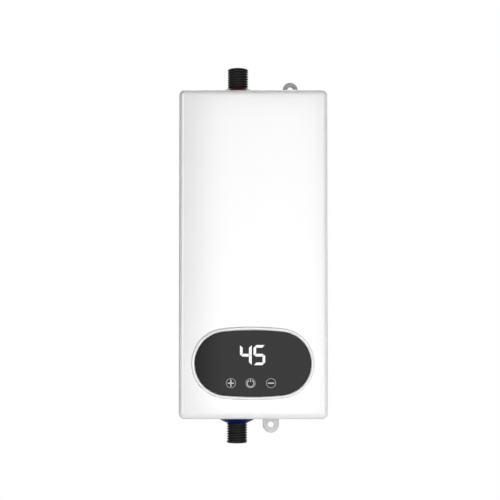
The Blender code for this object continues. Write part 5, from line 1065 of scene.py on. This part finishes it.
    def build(self) -> None:
        """Build and dress the tray."""
        floor = self.floor_y()
        added = [self.ear(*ear) for ear in self.ears]
        cut: list[bpy.types.Mesh] = []
        for node, side in (("outlet_spigot", 1), ("inlet_spigot", -1)):
            port = centre(node)
            for height, radius, half, thickness, top in self.pipe_ribs:
                axis = Vector((port.x, port.y, side * height))
                added.append(self.cradle(axis, radius, half, port.y + top, thickness))
        tank = centre("tank_shell")
        for number in (1, 2):
            clamp = centre(f"tank_clamp_{number}")
            axis = Vector((tank.x, tank.y, clamp.z))
            top = tank.y + self.tank_rib_rise
            added.append(self.cradle(axis, self.tank_notch, self.tank_rib_half, top, self.tank_rib))
            x, _, z = centre(f"clamp_screw_{number}")
            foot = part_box(f"tank_clamp_{number}")[1][1] + CLEARANCE
            added.append(pin("clamp_boss", self.clamp_boss, x, z, foot, floor))
            cut.append(pin("clamp_bore", self.pilot, x, z, foot - OVERRUN, foot + self.clamp_bore_depth))
            added.append(self.hook(f"tank_clamp_{number}"))
        low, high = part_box("power_board")
        for x in (low[0] + self.board_inset, high[0] - self.board_inset):
            for z in (low[2] + self.board_inset, high[2] - self.board_inset):
                added.append(pin("standoff", self.standoff, x, z, high[1] + CLEARANCE, floor))
                tip = high[1] - self.board_pin_rise
                added.append(pin("standoff_pin", self.board_pin, x, z, tip, floor, 20))
        for index in range(4):
            x, _, z = centre(f"cover_screw_{index + 1}")
            added.append(pin("screw_boss", self.screw_boss[0], x, z, self.screw_boss[1], floor))
            cut.append(pin("screw_sink", self.screw_sink[0], x, z, self.screw_sink[1], OVERRUN, 40))
            cut.append(pin("screw_bore", self.pilot, x, z, self.screw_bore_front, OVERRUN, 24))
        x, _, z = centre("cable_grommet")
        radius, front = self.grommet_boss
        added.append(pin("grommet_boss", radius, x, z, front, floor, self.hole_steps))
        for radius, front in self.grommet_sinks:
            cut.append(pin("grommet_sink", radius, x, z, front, OVERRUN, self.hole_steps))
        mesh = combined("rear_tray", self.shell(), added, cut)
        add_piece("rear_tray", mesh, TRAY_GREY, ("back_tray",))


@dataclass
class DisplayPanel:
    """The bezel ring, the smoked window, its lit digits and its three touch signs."""

    outline: DisplayOutline
    body_front: float = -0.0580
    lens_proud: float = 0.0016
    lens_thickness: float = 0.0023
    lens_round: float = 0.0004
    lens_support: float = 0.0004
    lens_steps: int = 6
    ring_width: float = 0.0028
    ring_proud: float = 0.0024
    ring_round: float = 0.0012
    ring_steps: int = 8
    cover_wall: float = 0.0022
    flange: float = 0.0026
    flange_thickness: float = 0.0015
    ledge_width: float = 0.0024
    post_radius: float = 0.0022
    post_sink: float = 0.0005
    post_place: Pair = (0.0354, 0.0338)
    pin_radius: float = 0.0011
    pin_sink: float = 0.0008
    pin_reach: float = 0.0020
    sign_thickness: float = 0.00004
    sign_radius: float = 0.0046
    sign_stroke: float = 0.0011
    band_steps: int = 72
    bar_round: float = 0.7
    plus_width: float = 0.0062
    plus_arm: float = 0.0030
    plus_gap: float = 0.00001
    minus_width: float = 0.0064
    power_radius: float = 0.0033
    power_stroke: float = 0.0008
    power_drop: float = 0.0003
    power_opening: float = 30.0
    power_bar: float = 0.0028
    power_bar_rise: float = 0.0025
    segment_gap: float = 0.00018
    ring_line: float = 0.00055
    sign_places: tuple[Pair, ...] = ((-0.0221, -0.1280), (-0.0027, -0.1280), (0.0175, -0.1280))
    four: tuple[tuple[Pair, ...], ...] = (
        ((-13.30, -90.35), (-10.30, -93.00), (-10.30, -98.88), (-11.92, -101.05), (-13.30, -99.90)),
        ((-10.30, -98.88), (-4.42, -98.88), (-4.42, -101.98), (-10.70, -101.98), (-11.92, -101.05)),
        ((-1.35, -90.35), (-4.42, -93.00), (-4.42, -100.45), (-1.35, -100.45)),
        ((-4.42, -100.45), (-1.35, -100.45), (-1.35, -110.25), (-4.42, -107.50)),
    )
    five: tuple[tuple[Pair, ...], ...] = (
        ((1.50, -91.72), (2.96, -90.28), (11.50, -90.28), (8.85, -93.25), (2.96, -93.25)),
        ((0.03, -93.16), (1.50, -91.72), (2.96, -93.25), (2.96, -98.88), (1.30, -101.00), (0.03, -99.84)),
        ((2.96, -98.88), (8.98, -98.88), (10.42, -99.88), (8.98, -101.98), (2.68, -101.98), (1.30, -101.00)),
        ((10.42, -99.88), (11.90, -100.87), (11.90, -107.45), (10.52, -108.95), (8.98, -107.45),
         (8.98, -101.98)),
        ((8.98, -107.45), (10.52, -108.95), (8.98, -110.40), (0.36, -110.40), (3.06, -107.45)),
    )

    def bezel(self) -> bpy.types.Mesh:
        """Return the raised ring with its flange behind the cover and its ledge under the window."""
        front = self.body_front - self.ring_proud
        behind = self.body_front + self.cover_wall + CLEARANCE
        rear = behind + self.flange_thickness
        ledge = self.face_y() + self.lens_thickness + CLEARANCE
        outside = self.ring_width + CLEARANCE
        inside = CLEARANCE
        bend = quarter(self.ring_round, self.ring_steps)
        section = [(inside + rise, front + depth) for depth, rise in bend]
        section += [(outside - rise, front + depth) for depth, rise in reversed(bend)]
        section += [(outside, behind), (outside + self.flange, behind), (outside + self.flange, rear)]
        section += [(inside - self.ledge_width, rear), (inside - self.ledge_width, ledge), (inside, ledge)]
        ring = loft("bezel_ring", [upright(self.outline.points(grow), y) for grow, y in section], closed=True)
        board_front, board_rear = (corner[1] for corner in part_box("display_board"))
        pin_end = min(board_rear + self.pin_reach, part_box("display_bezel")[1][1])
        posts: list[bpy.types.Mesh] = []
        for x, z in self.post_places():
            posts.append(pin("post", self.post_radius, x, z, rear - self.post_sink, board_front - CLEARANCE))
            posts.append(pin("post_pin", self.pin_radius, x, z, board_front - self.pin_sink, pin_end, 20))
        return combined("bezel_ring", ring, posts, [])

    def post_places(self) -> list[Pair]:
        """Return the x and z of the four posts behind the ring, on the board's pin holes."""
        board, (across, along) = centre("display_board"), self.post_place
        return [(side_x * across, board.z + side_z * along) for side_x in (-1, 1) for side_z in (-1, 1)]

    def window(self) -> bpy.types.Mesh:
        """Return the smoked window with its rounded front edge."""
        front = self.face_y()
        rows: list[Pair] = [(-self.lens_round - self.lens_support, front)]
        rows += [(-depth, front + rise) for depth, rise in quarter(self.lens_round, self.lens_steps)]
        rows.append((0.0, front + self.lens_thickness))
        return loft("window_panel", [upright(self.outline.points(grow), y) for grow, y in rows])

    def face_y(self) -> float:
        """Return the depth of the window's front face."""
        return self.body_front - self.lens_proud

    def digits(self) -> bpy.types.Mesh:
        """Return the lit digits as thin segments on the window's face."""
        depths = (self.face_y() - self.sign_thickness, self.face_y())
        segments: list[bpy.types.Mesh] = []
        for segment in self.four + self.five:
            outline = inset([(x / 1000, z / 1000) for x, z in segment], self.segment_gap)
            segments.append(loft("segment", [upright(outline, y) for y in depths]))
        return together("lit_digits", segments)

    def band(
        self, x: float, z: float, radius: float, width: float, start: float, end: float
    ) -> bpy.types.Mesh:
        """Return a thin ring or part of one on the window's face.

        Args:
            x: Its centre in x.
            z: Its centre in z.
            radius: Radius of its middle line.
            width: Width of the line.
            start: Start angle.
            end: End angle.

        Returns:
            The band's mesh.
        """
        outer = arc((x, z), radius + width / 2, start, end, self.band_steps)
        inner = arc((x, z), radius - width / 2, start, end, self.band_steps)
        whole = math.isclose(end - start, 2 * math.pi)
        outlines = [outer[:-1], inner[:-1]] if whole else [outer + inner[::-1]]
        return prism("band", outlines, self.face_y() - self.sign_thickness, self.face_y())

    def bar(self, x: float, z: float, width: float, height: float) -> bpy.types.Mesh:
        """Return a thin bar with rounded ends on the window's face."""
        radius = min(width, height) / 2 * self.bar_round
        outline = [(x + px, z + pz) for px, pz in round_rectangle(width / 2, height / 2, radius, 4)]
        return prism("bar", [outline], self.face_y() - self.sign_thickness, self.face_y())

    def rings(self) -> bpy.types.Mesh:
        """Return the thin circle round each of the three signs."""
        turn = 2 * math.pi
        bands = [self.band(x, z, self.sign_radius, self.ring_line, 0.0, turn) for x, z in self.sign_places]
        return together("sign_rings", bands)

    def signs(self) -> bpy.types.Mesh:
        """Return the plus, power and minus signs."""
        plus, power, minus = self.sign_places
        stroke, arm = self.sign_stroke, self.plus_arm
        meshes = [self.bar(*plus, self.plus_width, stroke)]
        for side in (1, -1):
            middle = plus[1] + side * arm / 2 + side * stroke / 2 + side * self.plus_gap
            meshes.append(self.bar(plus[0], middle, stroke, arm))
        gap = math.radians(self.power_opening)
        start, end = math.pi / 2 + gap, math.pi / 2 + 2 * math.pi - gap
        height = power[1] - self.power_drop
        meshes.append(self.band(power[0], height, self.power_radius, self.power_stroke, start, end))
        meshes.append(self.bar(power[0], power[1] + self.power_bar_rise, self.power_stroke, self.power_bar))
        meshes.append(self.bar(*minus, self.minus_width, stroke))
        return together("touch_signs", meshes)

    def build(self) -> None:
        """Build and dress the display."""
        add_piece("bezel_ring", self.bezel(), BEZEL_WHITE, ("display_bezel",))
        add_piece("window_panel", self.window(), SMOKED_LENS, ("display_lens",))
        add_piece("lit_digits", self.digits(), DIGIT_WHITE, smooth=False)
        add_piece("touch_signs", self.signs(), SIGN_BRIGHT, smooth=False)
        add_piece("sign_rings", self.rings(), SIGN_RING, smooth=False)


@dataclass
class ThreadCutter:
    """Geometry Nodes tree that presses a helical thread into a turned surface."""

    crest: float = 0.0104775
    depth: float = 0.0018
    pitch: float = 0.0025
    start: float = 0.1650
    end: float = 0.1895
    run_out: float = 0.0018
    phase: float = 0.0
    flank: Pair = (0.18, 0.90)
    skin: float = 0.0002
    tree: bpy.types.NodeTree | None = field(default=None, init=False)

    def math_node(self, operation: str, *values: object) -> bpy.types.NodeSocket:
        """Add a Math node to the tree.

        Args:
            operation: Its operation.
            *values: Sockets or numbers for its inputs, in order.

        Returns:
            Its value.
        """
        return add_node(self.tree, "ShaderNodeMath", dict(enumerate(values)), operation=operation).outputs[0]

    def build_tree(self, material: bpy.types.Material) -> bpy.types.NodeTree:
        """Return the tree: points between start and end move in to a helical groove.

        Args:
            material: Material that the tree sets.

        Returns:
            The geometry tree with its named inputs.
        """
        labels = ("Crest radius", "Depth", "Pitch", "Start", "End", "Run out", "Phase")
        tree, start, end = geometry_tree("thread_cutter", dict.fromkeys(labels, "NodeSocketFloat"))
        self.tree, value, work = tree, start.outputs, self.math_node
        position = tree.nodes.new("GeometryNodeInputPosition")
        x, y, z = add_node(tree, "ShaderNodeSeparateXYZ", {0: position.outputs[0]}).outputs
        turn = work("DIVIDE", work("ARCTAN2", y, x), 2 * math.pi)
        row = work("DIVIDE", z, value["Pitch"])
        wave = work("FRACT", work("ADD", work("SUBTRACT", row, turn), value["Phase"]))
        valley = work("SUBTRACT", 1.0, work("MULTIPLY", work("ABSOLUTE", work("SUBTRACT", wave, 0.5)), 2.0))
        limits = {"Value": valley, "From Min": self.flank[0], "From Max": self.flank[1]}
        groove = add_node(tree, "ShaderNodeMapRange", limits)
        below = work("DIVIDE", work("SUBTRACT", z, value["Start"]), value["Run out"])
        above = work("DIVIDE", work("SUBTRACT", value["End"], z), value["Run out"])
        mask = add_node(tree, "ShaderNodeClamp", {"Value": work("MINIMUM", below, above)})
        radius = work("SQRT", work("ADD", work("MULTIPLY", x, x), work("MULTIPLY", y, y)))
        outside = work("GREATER_THAN", radius, work("SUBTRACT", value["Crest radius"], self.skin))
        press = work("MULTIPLY", groove.outputs[0], value["Depth"])
        move = work("MULTIPLY", press, work("MULTIPLY", mask.outputs[0], outside))
        share = work("SUBTRACT", 1.0, work("DIVIDE", move, radius))
        point = {0: work("MULTIPLY", x, share), 1: work("MULTIPLY", y, share), 2: z}
        moved = add_node(tree, "ShaderNodeCombineXYZ", point)
        inputs = {"Geometry": value["Geometry"], "Position": moved.outputs[0]}
        place = add_node(tree, "GeometryNodeSetPosition", inputs)
        close_tree(tree, place.outputs[0], material, end)
        return tree

    def cut(self, mesh: bpy.types.Mesh, material: bpy.types.Material) -> bpy.types.Mesh:
        """Return a turned mesh with the thread cut into it.

        Args:
            mesh: The turned mesh round Z, its mouth upwards.
            material: The piece's material.

        Returns:
            The threaded mesh.
        """
        sizes = {
            "Crest radius": self.crest,
            "Depth": self.depth,
            "Pitch": self.pitch,
            "Start": self.start,
            "End": self.end,
            "Run out": self.run_out,
            "Phase": self.phase,
        }
        return through_tree("threaded", mesh, self.tree or self.build_tree(material), sizes)


@dataclass
class WaterPorts:
    """The threaded inlet and outlet, their trim collars and the inlet's strainer."""

    mouth_z: float = 0.1900
    body_end: float = 0.1640
    cover_wall: float = 0.0022
    thread_chamfer: float = 0.0008
    shank: float = 0.0115
    shoulder: float = 0.0140
    shoulder_z: float = 0.1575
    shoulder_width: float = 0.0030
    waterway: float = 0.0060
    mouth_bore: float = 0.0075
    bore_z: float = 0.1660
    inner_z: float = 0.1480
    nose: float = 0.0090
    nose_length: float = 0.0080
    groove: float = 0.0014
    groove_width: float = 0.0022
    groove_depth: float = 0.0030
    nose_soft: float = 0.0005
    seat: float = 0.0086
    seat_depth: float = 0.0018
    soft: float = 0.0003
    fine_soft: float = 0.0002
    socket_depth: float = 0.0120
    probe_radius: float = 0.0023
    probe_length: float = 0.0115
    probe_offset: float = 0.0013
    collar_base: float = 0.0200
    collar_height: float = 0.0054
    collar_neck: float = 0.0137
    collar_sink: float = 0.0010
    dome_radius: float = 0.0315
    dome_steps: int = 18
    rim_drop: float = 0.00005
    cup: float = 0.0072
    cup_wall: float = 0.0008
    cup_length: float = 0.0180
    cup_flange: Pair = (0.0083, 0.0012)
    cup_taper: float = 0.0012
    slot_low: Place = (-0.0100, -0.0008, 0.0042)
    slot_high: Place = (0.0100, 0.0008, 0.0150)
    slots: int = 3
    steps: int = 96
    rows_per_pitch: int = 16
    cutter: ThreadCutter = field(default_factory=ThreadCutter)

    def outside(self, inner_z: float) -> list[Pair]:
        """Return the outer profile of a spigot, from its mouth down to its inner end.

        Args:
            inner_z: Height of the inner end.

        Returns:
            The profile's points.
        """
        top = self.mouth_z - self.thread_chamfer
        bottom = self.body_end - self.cover_wall
        edge = self.cutter.crest - self.thread_chamfer
        profile = [(edge - self.fine_soft, self.mouth_z), (edge, self.mouth_z - self.fine_soft / 2)]
        count = int((top - bottom) / self.cutter.pitch * self.rows_per_pitch)
        for index in range(count + 1):
            profile.append((self.cutter.crest, top - (top - bottom) * index / count))
        soft, high, low = self.soft, self.shoulder_z, self.shoulder_z - self.shoulder_width
        profile += [(self.shank, bottom), (self.shank, high), (self.shoulder - soft, high)]
        profile += [(self.shoulder, high - soft), (self.shoulder, low + soft), (self.shoulder - soft, low)]
        profile += [(self.shank, low), (self.shank, inner_z + soft), (self.shank - soft, inner_z)]
        return profile

    def inlet(self) -> bpy.types.Mesh:
        """Return the inlet spigot with its ringed nose and the strainer's seat."""
        nose, mouth = self.nose, self.mouth_z
        groove_top = self.inner_z - self.groove_depth
        groove_end = groove_top - self.groove_width
        nose_end = self.inner_z - self.nose_length
        seat_z = mouth - self.seat_depth
        inside = [(nose, self.inner_z), (nose, groove_top), (nose - self.groove, groove_top)]
        inside += [(nose - self.groove, groove_end), (nose, groove_end)]
        inside += [(nose, nose_end + self.nose_soft), (nose - self.nose_soft, nose_end)]
        inside += [(self.waterway, nose_end), (self.waterway, self.bore_z)]
        inside += [(self.mouth_bore, self.bore_z), (self.mouth_bore, seat_z), (self.seat, seat_z)]
        inside += [(self.seat, mouth - self.fine_soft), (self.seat + self.fine_soft, mouth)]
        return lathe("inlet_port", self.outside(self.inner_z) + inside, self.steps, closed=True)

    def outlet(self) -> bpy.types.Mesh:
        """Return the outlet spigot with its socket over the tank's neck; build cuts the probe's hole into it
        afterwards.
        """
        inner_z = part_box("outlet_spigot")[0][2]
        socket = self.nose + CLEARANCE
        socket_z = inner_z + self.socket_depth
        inside = [(socket, inner_z), (socket, socket_z), (self.waterway, socket_z)]
        inside += [(self.waterway, self.bore_z), (self.mouth_bore, self.bore_z)]
        inside += [(self.mouth_bore, self.mouth_z - self.soft), (self.mouth_bore + self.soft, self.mouth_z)]
        return lathe("outlet_port", self.outside(inner_z) + inside, self.steps, closed=True)

    def collar(self, name: str) -> bpy.types.Mesh:
        """Return a domed trim collar on the casing's end."""
        bore = self.cutter.crest + CLEARANCE
        base = self.body_end + CLEARANCE
        middle = base + self.collar_height - math.sqrt(self.dome_radius**2 - bore**2)
        start = math.acos(bore / self.dome_radius)
        end = math.acos(self.collar_base / self.dome_radius)
        dome = arc((0.0, middle), self.dome_radius, start, end, self.dome_steps)
        rim_x, rim_z = dome[0]
        profile = [(rim_x, rim_z - self.soft), (rim_x + self.fine_soft, rim_z - self.rim_drop), *dome[1:]]
        neck, neck_end = self.collar_neck, self.body_end - self.collar_sink
        profile += [(self.collar_base, base), (neck, base), (neck, neck_end), (bore, neck_end)]
        return lathe(name, profile, self.steps, closed=True)

    def strainer(self) -> bpy.types.Mesh:
        """Return the strainer basket, its mouth down: a flanged cup with slots round its wall."""
        cup, wall, length = self.cup, self.cup_wall, self.cup_length
        rim, flange = self.cup_flange
        tip = cup - self.cup_taper
        profile = [(0.0, length), (tip - self.nose_soft, length), (tip, length - self.nose_soft)]
        profile += [(cup, flange + self.cup_taper), (cup, flange), (rim, flange), (rim, self.fine_soft)]
        profile += [(rim - self.fine_soft, 0.0), (cup - wall, 0.0), (cup - wall, flange + self.cup_taper)]
        profile += [(tip - wall, length - wall), (0.0, length - wall)]
        slots: list[bpy.types.Mesh] = []
        for index in range(self.slots):
            turn = Matrix.Rotation(math.pi * (index + 0.5) / self.slots, 4, "Z")
            slots.append(placed(block("slot", self.slot_low, self.slot_high), turn))
        return combined("strainer_basket", lathe("strainer_basket", profile, 48), [], slots)

    def build(self) -> None:
        """Build and dress both ports."""
        material = BLACK_NYLON.material()
        turned = Matrix.Rotation(math.pi, 4, "X")
        low, high = centre("inlet_spigot"), centre("outlet_spigot")
        cold = Matrix.Translation((low.x, low.y, 0.0))
        hot = Matrix.Translation((high.x, high.y, 0.0))
        inlet = placed(self.cutter.cut(self.inlet(), material), cold @ turned)
        outlet = placed(self.cutter.cut(self.outlet(), material), hot)
        probe_low, probe_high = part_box("outlet_probe")
        radius, length = self.probe_radius, self.probe_length
        probe = lathe("probe_hole", [(0.0, 0.0), (radius, 0.0), (radius, length), (0.0, length)], 24)
        side = Matrix.Rotation(math.pi / 2, 4, "Y")
        place = Matrix.Translation((high.x + self.probe_offset, high.y, (probe_low[2] + probe_high[2]) / 2))
        outlet = combined("outlet_port", outlet, [], [placed(probe, place @ side)])
        add_piece("inlet_port", inlet, BLACK_NYLON, ("inlet_spigot",))
        add_piece("outlet_port", outlet, BLACK_NYLON, ("outlet_spigot",))
        blue = placed(self.collar("cold_collar"), cold @ turned)
        add_piece("cold_collar", blue, COLLAR_BLUE, ("inlet_collar",))
        red = placed(self.collar("hot_collar"), hot)
        add_piece("hot_collar", red, COLLAR_RED, ("outlet_collar",))
        basket = placed(self.strainer(), Matrix.Translation((low.x, low.y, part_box("inlet_strainer")[0][2])))
        replaced = ("inlet_strainer",)
        add_piece("strainer_basket", basket, STRAINER_PLASTIC, replaced, "strainer")


@dataclass
class RearFixings:
    """The four cover screws and the cord grommet in the tray."""

    head_radius: float = 0.0035
    head_height: float = 0.0019
    shank_radius: float = 0.0014
    length: float = 0.0140
    recess: float = 0.0010
    recess_half: Pair = (0.0019, 0.00035)
    head_round: float = 0.0012
    head_steps: int = 6
    thread_top: float = 0.0008
    thread_short: float = 0.0028
    thread_depth: float = 0.00025
    thread_turns: int = 14
    tip_radius: float = 0.0004
    grommet_profile: tuple[Pair, ...] = (
        (0.0047, -0.0004), (0.0052, -0.0002), (0.0088, -0.0005), (0.0093, -0.0008), (0.0095, -0.0012),
        (0.0095, -0.0023), (0.0070, -0.0023), (0.0070, -0.0054), (0.00825, -0.0054), (0.0080, -0.0062),
        (0.0070, -0.0070), (0.0047, -0.0071), (0.0045, -0.0068), (0.0045, -0.0008),
    )

    def screw(self) -> bpy.types.Mesh:
        """Return a pan-head screw along Z with a cross recess, its head's underside at the origin."""
        head, height = self.head_radius, self.head_height
        bend = reversed(quarter(self.head_round, self.head_steps))
        profile = [(0.0, height), *((head - rise, height - depth) for depth, rise in bend)]
        profile += [(head, 0.0), (self.shank_radius, 0.0)]
        for index in range(self.thread_turns + 1):
            depth = -self.thread_top - (self.length - self.thread_short) * index / self.thread_turns
            profile.append((self.shank_radius - (self.thread_depth if index % 2 else 0.0), depth))
        profile += [(self.tip_radius, -self.length), (0.0, -self.length)]
        low, high = height - self.recess, height + OVERRUN
        halves = (self.recess_half, self.recess_half[::-1])
        arms = [block("arm", (-along, -across, low), (along, across, high)) for along, across in halves]
        return combined("screw", lathe("screw", profile, 32), [], arms)

    def screw_tree(self, screw: bpy.types.Object, material: bpy.types.Material) -> bpy.types.NodeTree:
        """Return a tree that sets one screw on every point of a mesh.

        Args:
            screw: Object that holds the screw's mesh.
            material: Material of the screws.

        Returns:
            The geometry tree.
        """
        tree, start, end = geometry_tree("screw_setter", {"Tilt": "NodeSocketVector"})
        source = add_node(tree, "GeometryNodeObjectInfo", {"Object": screw})
        turn = add_node(tree, "FunctionNodeEulerToRotation", {0: start.outputs["Tilt"]})
        inputs = {
            "Points": start.outputs["Geometry"],
            "Instance": source.outputs["Geometry"],
            "Rotation": turn.outputs[0],
        }
        setter = add_node(tree, "GeometryNodeInstanceOnPoints", inputs)
        close_tree(tree, setter.outputs[0], material, end)
        return tree

    def screws(self) -> bpy.types.Mesh:
        """Return the four screws in their sinks, heads to the rear."""
        points = bpy.data.meshes.new("screw_points")
        places = []
        for index in range(4):
            x, _, z = centre(f"cover_screw_{index + 1}")
            places.append((x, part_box(f"cover_screw_{index + 1}")[1][1] - self.head_height, z))
        points.from_pydata(places, [], [])
        source = linked("screw_source", self.screw())
        tree = self.screw_tree(source, ZINC_STEEL.material())
        mesh = through_tree("screw_points", points, tree, {"Tilt": (-math.pi / 2, 0.0, 0.0)})
        bpy.data.objects.remove(source)
        return mesh

    def grommet(self) -> bpy.types.Mesh:
        """Return the rubber grommet round Z, its outer flange upwards at the wall side."""
        return lathe("cord_grommet", list(self.grommet_profile), 64, closed=True)

    def build(self) -> None:
        """Build and dress the screws and the grommet."""
        names = tuple(f"cover_screw_{index + 1}" for index in range(4))
        add_piece("cover_screws", self.screws(), ZINC_STEEL, names)
        middle = centre("cable_grommet")
        place = Matrix.Translation((middle.x, 0.0, middle.z)) @ Matrix.Rotation(-math.pi / 2, 4, "X")
        grommet = placed(self.grommet(), place)
        add_piece("cord_grommet", grommet, BLACK_RUBBER, ("cable_grommet",))


@dataclass
class InnerWorks:
    """The pieces inside the casing, which keep the assembly's own solids and get their finishes."""

    finishes: dict[str, tuple[str, ...]] = field(default_factory=lambda: {
        "gasket_rubber": ("cover_gasket",),
        "black_rubber": ("inlet_seal", "outlet_seal", "lower_cap_seal", "upper_cap_seal"),
        "circuit_board": ("display_board", "power_board"),
        "digit_module": ("led_display",),
        "spring_steel": ("touch_spring_1", "touch_spring_2", "touch_spring_3"),
        "black_nylon": ("flow_sensor_body", "tank_lower_cap", "tank_upper_cap"),
        "chip_black": ("hall_sensor", "thermal_cutout", "triac", "leakage_coil"),
        "acetal_white": ("flow_guide", "bearing_spider"),
        "rotor_plastic": ("turbine_rotor",),
        "axle_steel": ("turbine_axle",),
        "tank_steel": ("tank_shell",),
        "element_steel": ("heating_element",),
        "strap_steel": ("tank_clamp_1", "tank_clamp_2", "cutout_bracket"),
        "zinc_screw": ("clamp_screw_1", "clamp_screw_2"),
        "button_red": ("reset_button",),
        "probe_brass": ("inlet_probe", "outlet_probe", "earth_screw"),
        "relay_blue": ("safety_relay",),
        "transformer_core": ("transformer",),
        "capacitor_sleeve": ("capacitor",),
        "terminal_green": ("terminal_block",),
        "sink_aluminium": ("triac_heat_sink",),
        "lead_red": ("cutout_lead",),
        "lead_brown": ("heater_lead_live",),
        "lead_blue": ("heater_lead_neutral",),
        "lead_black": ("outlet_probe_lead", "inlet_probe_lead"),
        "lead_yellow": ("flow_sensor_lead",),
        "lead_green": ("earth_lead",),
        "ribbon_grey": ("display_ribbon",),
    })

    def build(self) -> None:
        """Give each node that stays its finish."""
        for name, nodes in self.finishes.items():
            material = PLAIN_FINISHES[name].material()
            for node in nodes:
                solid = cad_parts[node]
                if not solid.material_slots:
                    solid.data.materials.append(material)
                for slot in solid.material_slots:
                    slot.material = material
                LOG.info("%s: finish %s", node, name)


class LampUse(Enum):
    """Whether a lamp lights surfaces, shows in their gloss, or does both."""

    SHADING = "shading"
    MIRRORS = "mirrors"
    BOTH = "both"


@dataclass(frozen=True)
class Softbox:
    """One area lamp, aimed at a point of the heater."""

    name: str
    place: Place
    width: float
    height: float
    power: float
    aim: Place = (0.0, -0.03, 0.0)
    use: LampUse = LampUse.BOTH

    def build(self) -> None:
        """Put the lamp in the scene."""
        data = bpy.data.lights.new(self.name, "AREA")
        data.shape = "RECTANGLE"
        data.size = self.width
        data.size_y = self.height
        data.energy = self.power
        item = linked(self.name, data)
        item.location = self.place
        way = Vector(self.aim) - Vector(self.place)
        item.rotation_euler = way.to_track_quat("-Z", "Y").to_euler()
        item.visible_camera = False
        item.visible_glossy = self.use != LampUse.SHADING
        item.visible_diffuse = self.use != LampUse.MIRRORS


@dataclass
class Studio:
    """The camera at the photograph's viewpoint, the soft lamps, the floor and the white surroundings."""

    camera_place: Place = (-0.00326, -1.20041, -0.05655)
    camera_tilt: float = 1.771
    lens: float = 83.09
    shift_y: float = 0.05
    sensor: float = 36.0
    clip: Pair = (0.05, 20.0)
    floor_z: float = -0.5500
    floor_radius: float = 0.7500
    floor_thickness: float = 0.004
    floor_steps: int = 96
    ambient: float = 0.10
    front_y: float = -1.3000
    front_right: float = 0.1426
    front_middle: float = 0.0570
    front_height: float = 0.6600
    front_lefts: tuple[float, ...] = (-0.1263, -0.1140, -0.1036, -0.0871, -0.0683)
    front_step: float = 0.004
    front_glow: float = 1.33
    lamps: tuple[Softbox, ...] = (
        Softbox("strip_left", (-0.742, -1.05, 0.05), 0.50, 0.72, 8.0, use=LampUse.MIRRORS),
        Softbox("strip_right", (0.440, -1.199, 0.05), 0.42, 0.72, 6.6, use=LampUse.MIRRORS),
        Softbox("key_middle", (0.14, -1.50, -0.50), 0.80, 0.80, 8.7, use=LampUse.SHADING),
        Softbox("key_right", (0.50, -1.38, -0.45), 0.80, 0.80, 6.4, use=LampUse.SHADING),
        Softbox("side_right", (1.00, 1.05, 0.05), 0.50, 1.30, 6.5, use=LampUse.SHADING),
        Softbox("side_left", (-1.00, 1.05, 0.05), 0.50, 1.30, 6.5, use=LampUse.SHADING),
        Softbox("top_rear", (0.10, 0.90, 1.00), 0.80, 0.50, 6.0),
    )

    def fading_front(self) -> list[Softbox]:
        """Return the softbox in front of the heater, in overlapping layers, so that its left side fades out.

        Returns:
            The layers.
        """
        layers: list[Softbox] = []
        for index, left in enumerate(self.front_lefts):
            width = self.front_right - left
            middle = (self.front_right + left) / 2
            power = self.front_glow * math.pi * width * self.front_height
            place = (middle, self.front_y + self.front_step * index, self.front_middle)
            aim = (middle, 0.0, self.front_middle)
            layers.append(Softbox(f"front_layer_{index + 1}", place, width, self.front_height, power, aim))
        return layers

    def camera(self) -> None:
        """Set the camera."""
        data = bpy.data.cameras.new("camera")
        data.lens = self.lens
        data.sensor_width = self.sensor
        data.shift_y = self.shift_y
        data.clip_start, data.clip_end = self.clip
        item = linked("camera", data)
        item.location = self.camera_place
        item.rotation_euler = (math.radians(90.0 + self.camera_tilt), 0.0, 0.0)
        bpy.context.scene.camera = item

    def light(self) -> None:
        """Set the lamps."""
        for lamp in [*self.lamps, *self.fading_front()]:
            lamp.build()

    def surroundings(self) -> None:
        """Make the world white to the camera and to mirrors, and dim to everything else."""
        world = bpy.data.worlds.new("surroundings")
        world.use_nodes = True
        tree = world.node_tree
        tree.nodes.clear()
        rays = tree.nodes.new("ShaderNodeLightPath").outputs
        inputs = {0: rays["Is Camera Ray"], 1: rays["Is Glossy Ray"]}
        seen = add_node(tree, "ShaderNodeMath", inputs, operation="MAXIMUM")
        inputs = {0: seen.outputs[0], 1: rays["Is Transmission Ray"]}
        either = add_node(tree, "ShaderNodeMath", inputs, operation="MAXIMUM")
        white = add_node(tree, "ShaderNodeBackground", {"Color": WHITE})
        dim = add_node(tree, "ShaderNodeBackground", {"Color": WHITE, "Strength": self.ambient})
        choice = {0: either.outputs[0], 1: dim.outputs[0], 2: white.outputs[0]}
        mix = add_node(tree, "ShaderNodeMixShader", choice)
        add_node(tree, "ShaderNodeOutputWorld", {"Surface": mix.outputs[0]})
        bpy.context.scene.world = world

    def floor(self) -> None:
        """Lay a pale floor well below the heater."""
        top, low = self.floor_z, self.floor_z - self.floor_thickness
        profile = [(0.0, top), (self.floor_radius, top), (self.floor_radius, low), (0.0, low)]
        mesh = lathe("floor", profile, self.floor_steps)
        mesh.materials.append(FLOOR_PAPER.material())
        linked("floor", mesh)

    def build(self) -> None:
        """Build the whole studio."""
        bpy.context.scene.view_settings.view_transform = "Standard"
        self.camera()
        self.light()
        self.surroundings()
        self.floor()


def main() -> None:
    """Build the studio and every sub-assembly in order."""
    logging.basicConfig(level=logging.INFO, format="%(name)s: %(message)s")
    Studio().build()
    outline = DisplayOutline()
    FrontCover(outline).build()
    RearTray().build()
    DisplayPanel(outline).build()
    WaterPorts().build()
    RearFixings().build()
    InnerWorks().build()


if __name__ == "__main__":
    main()
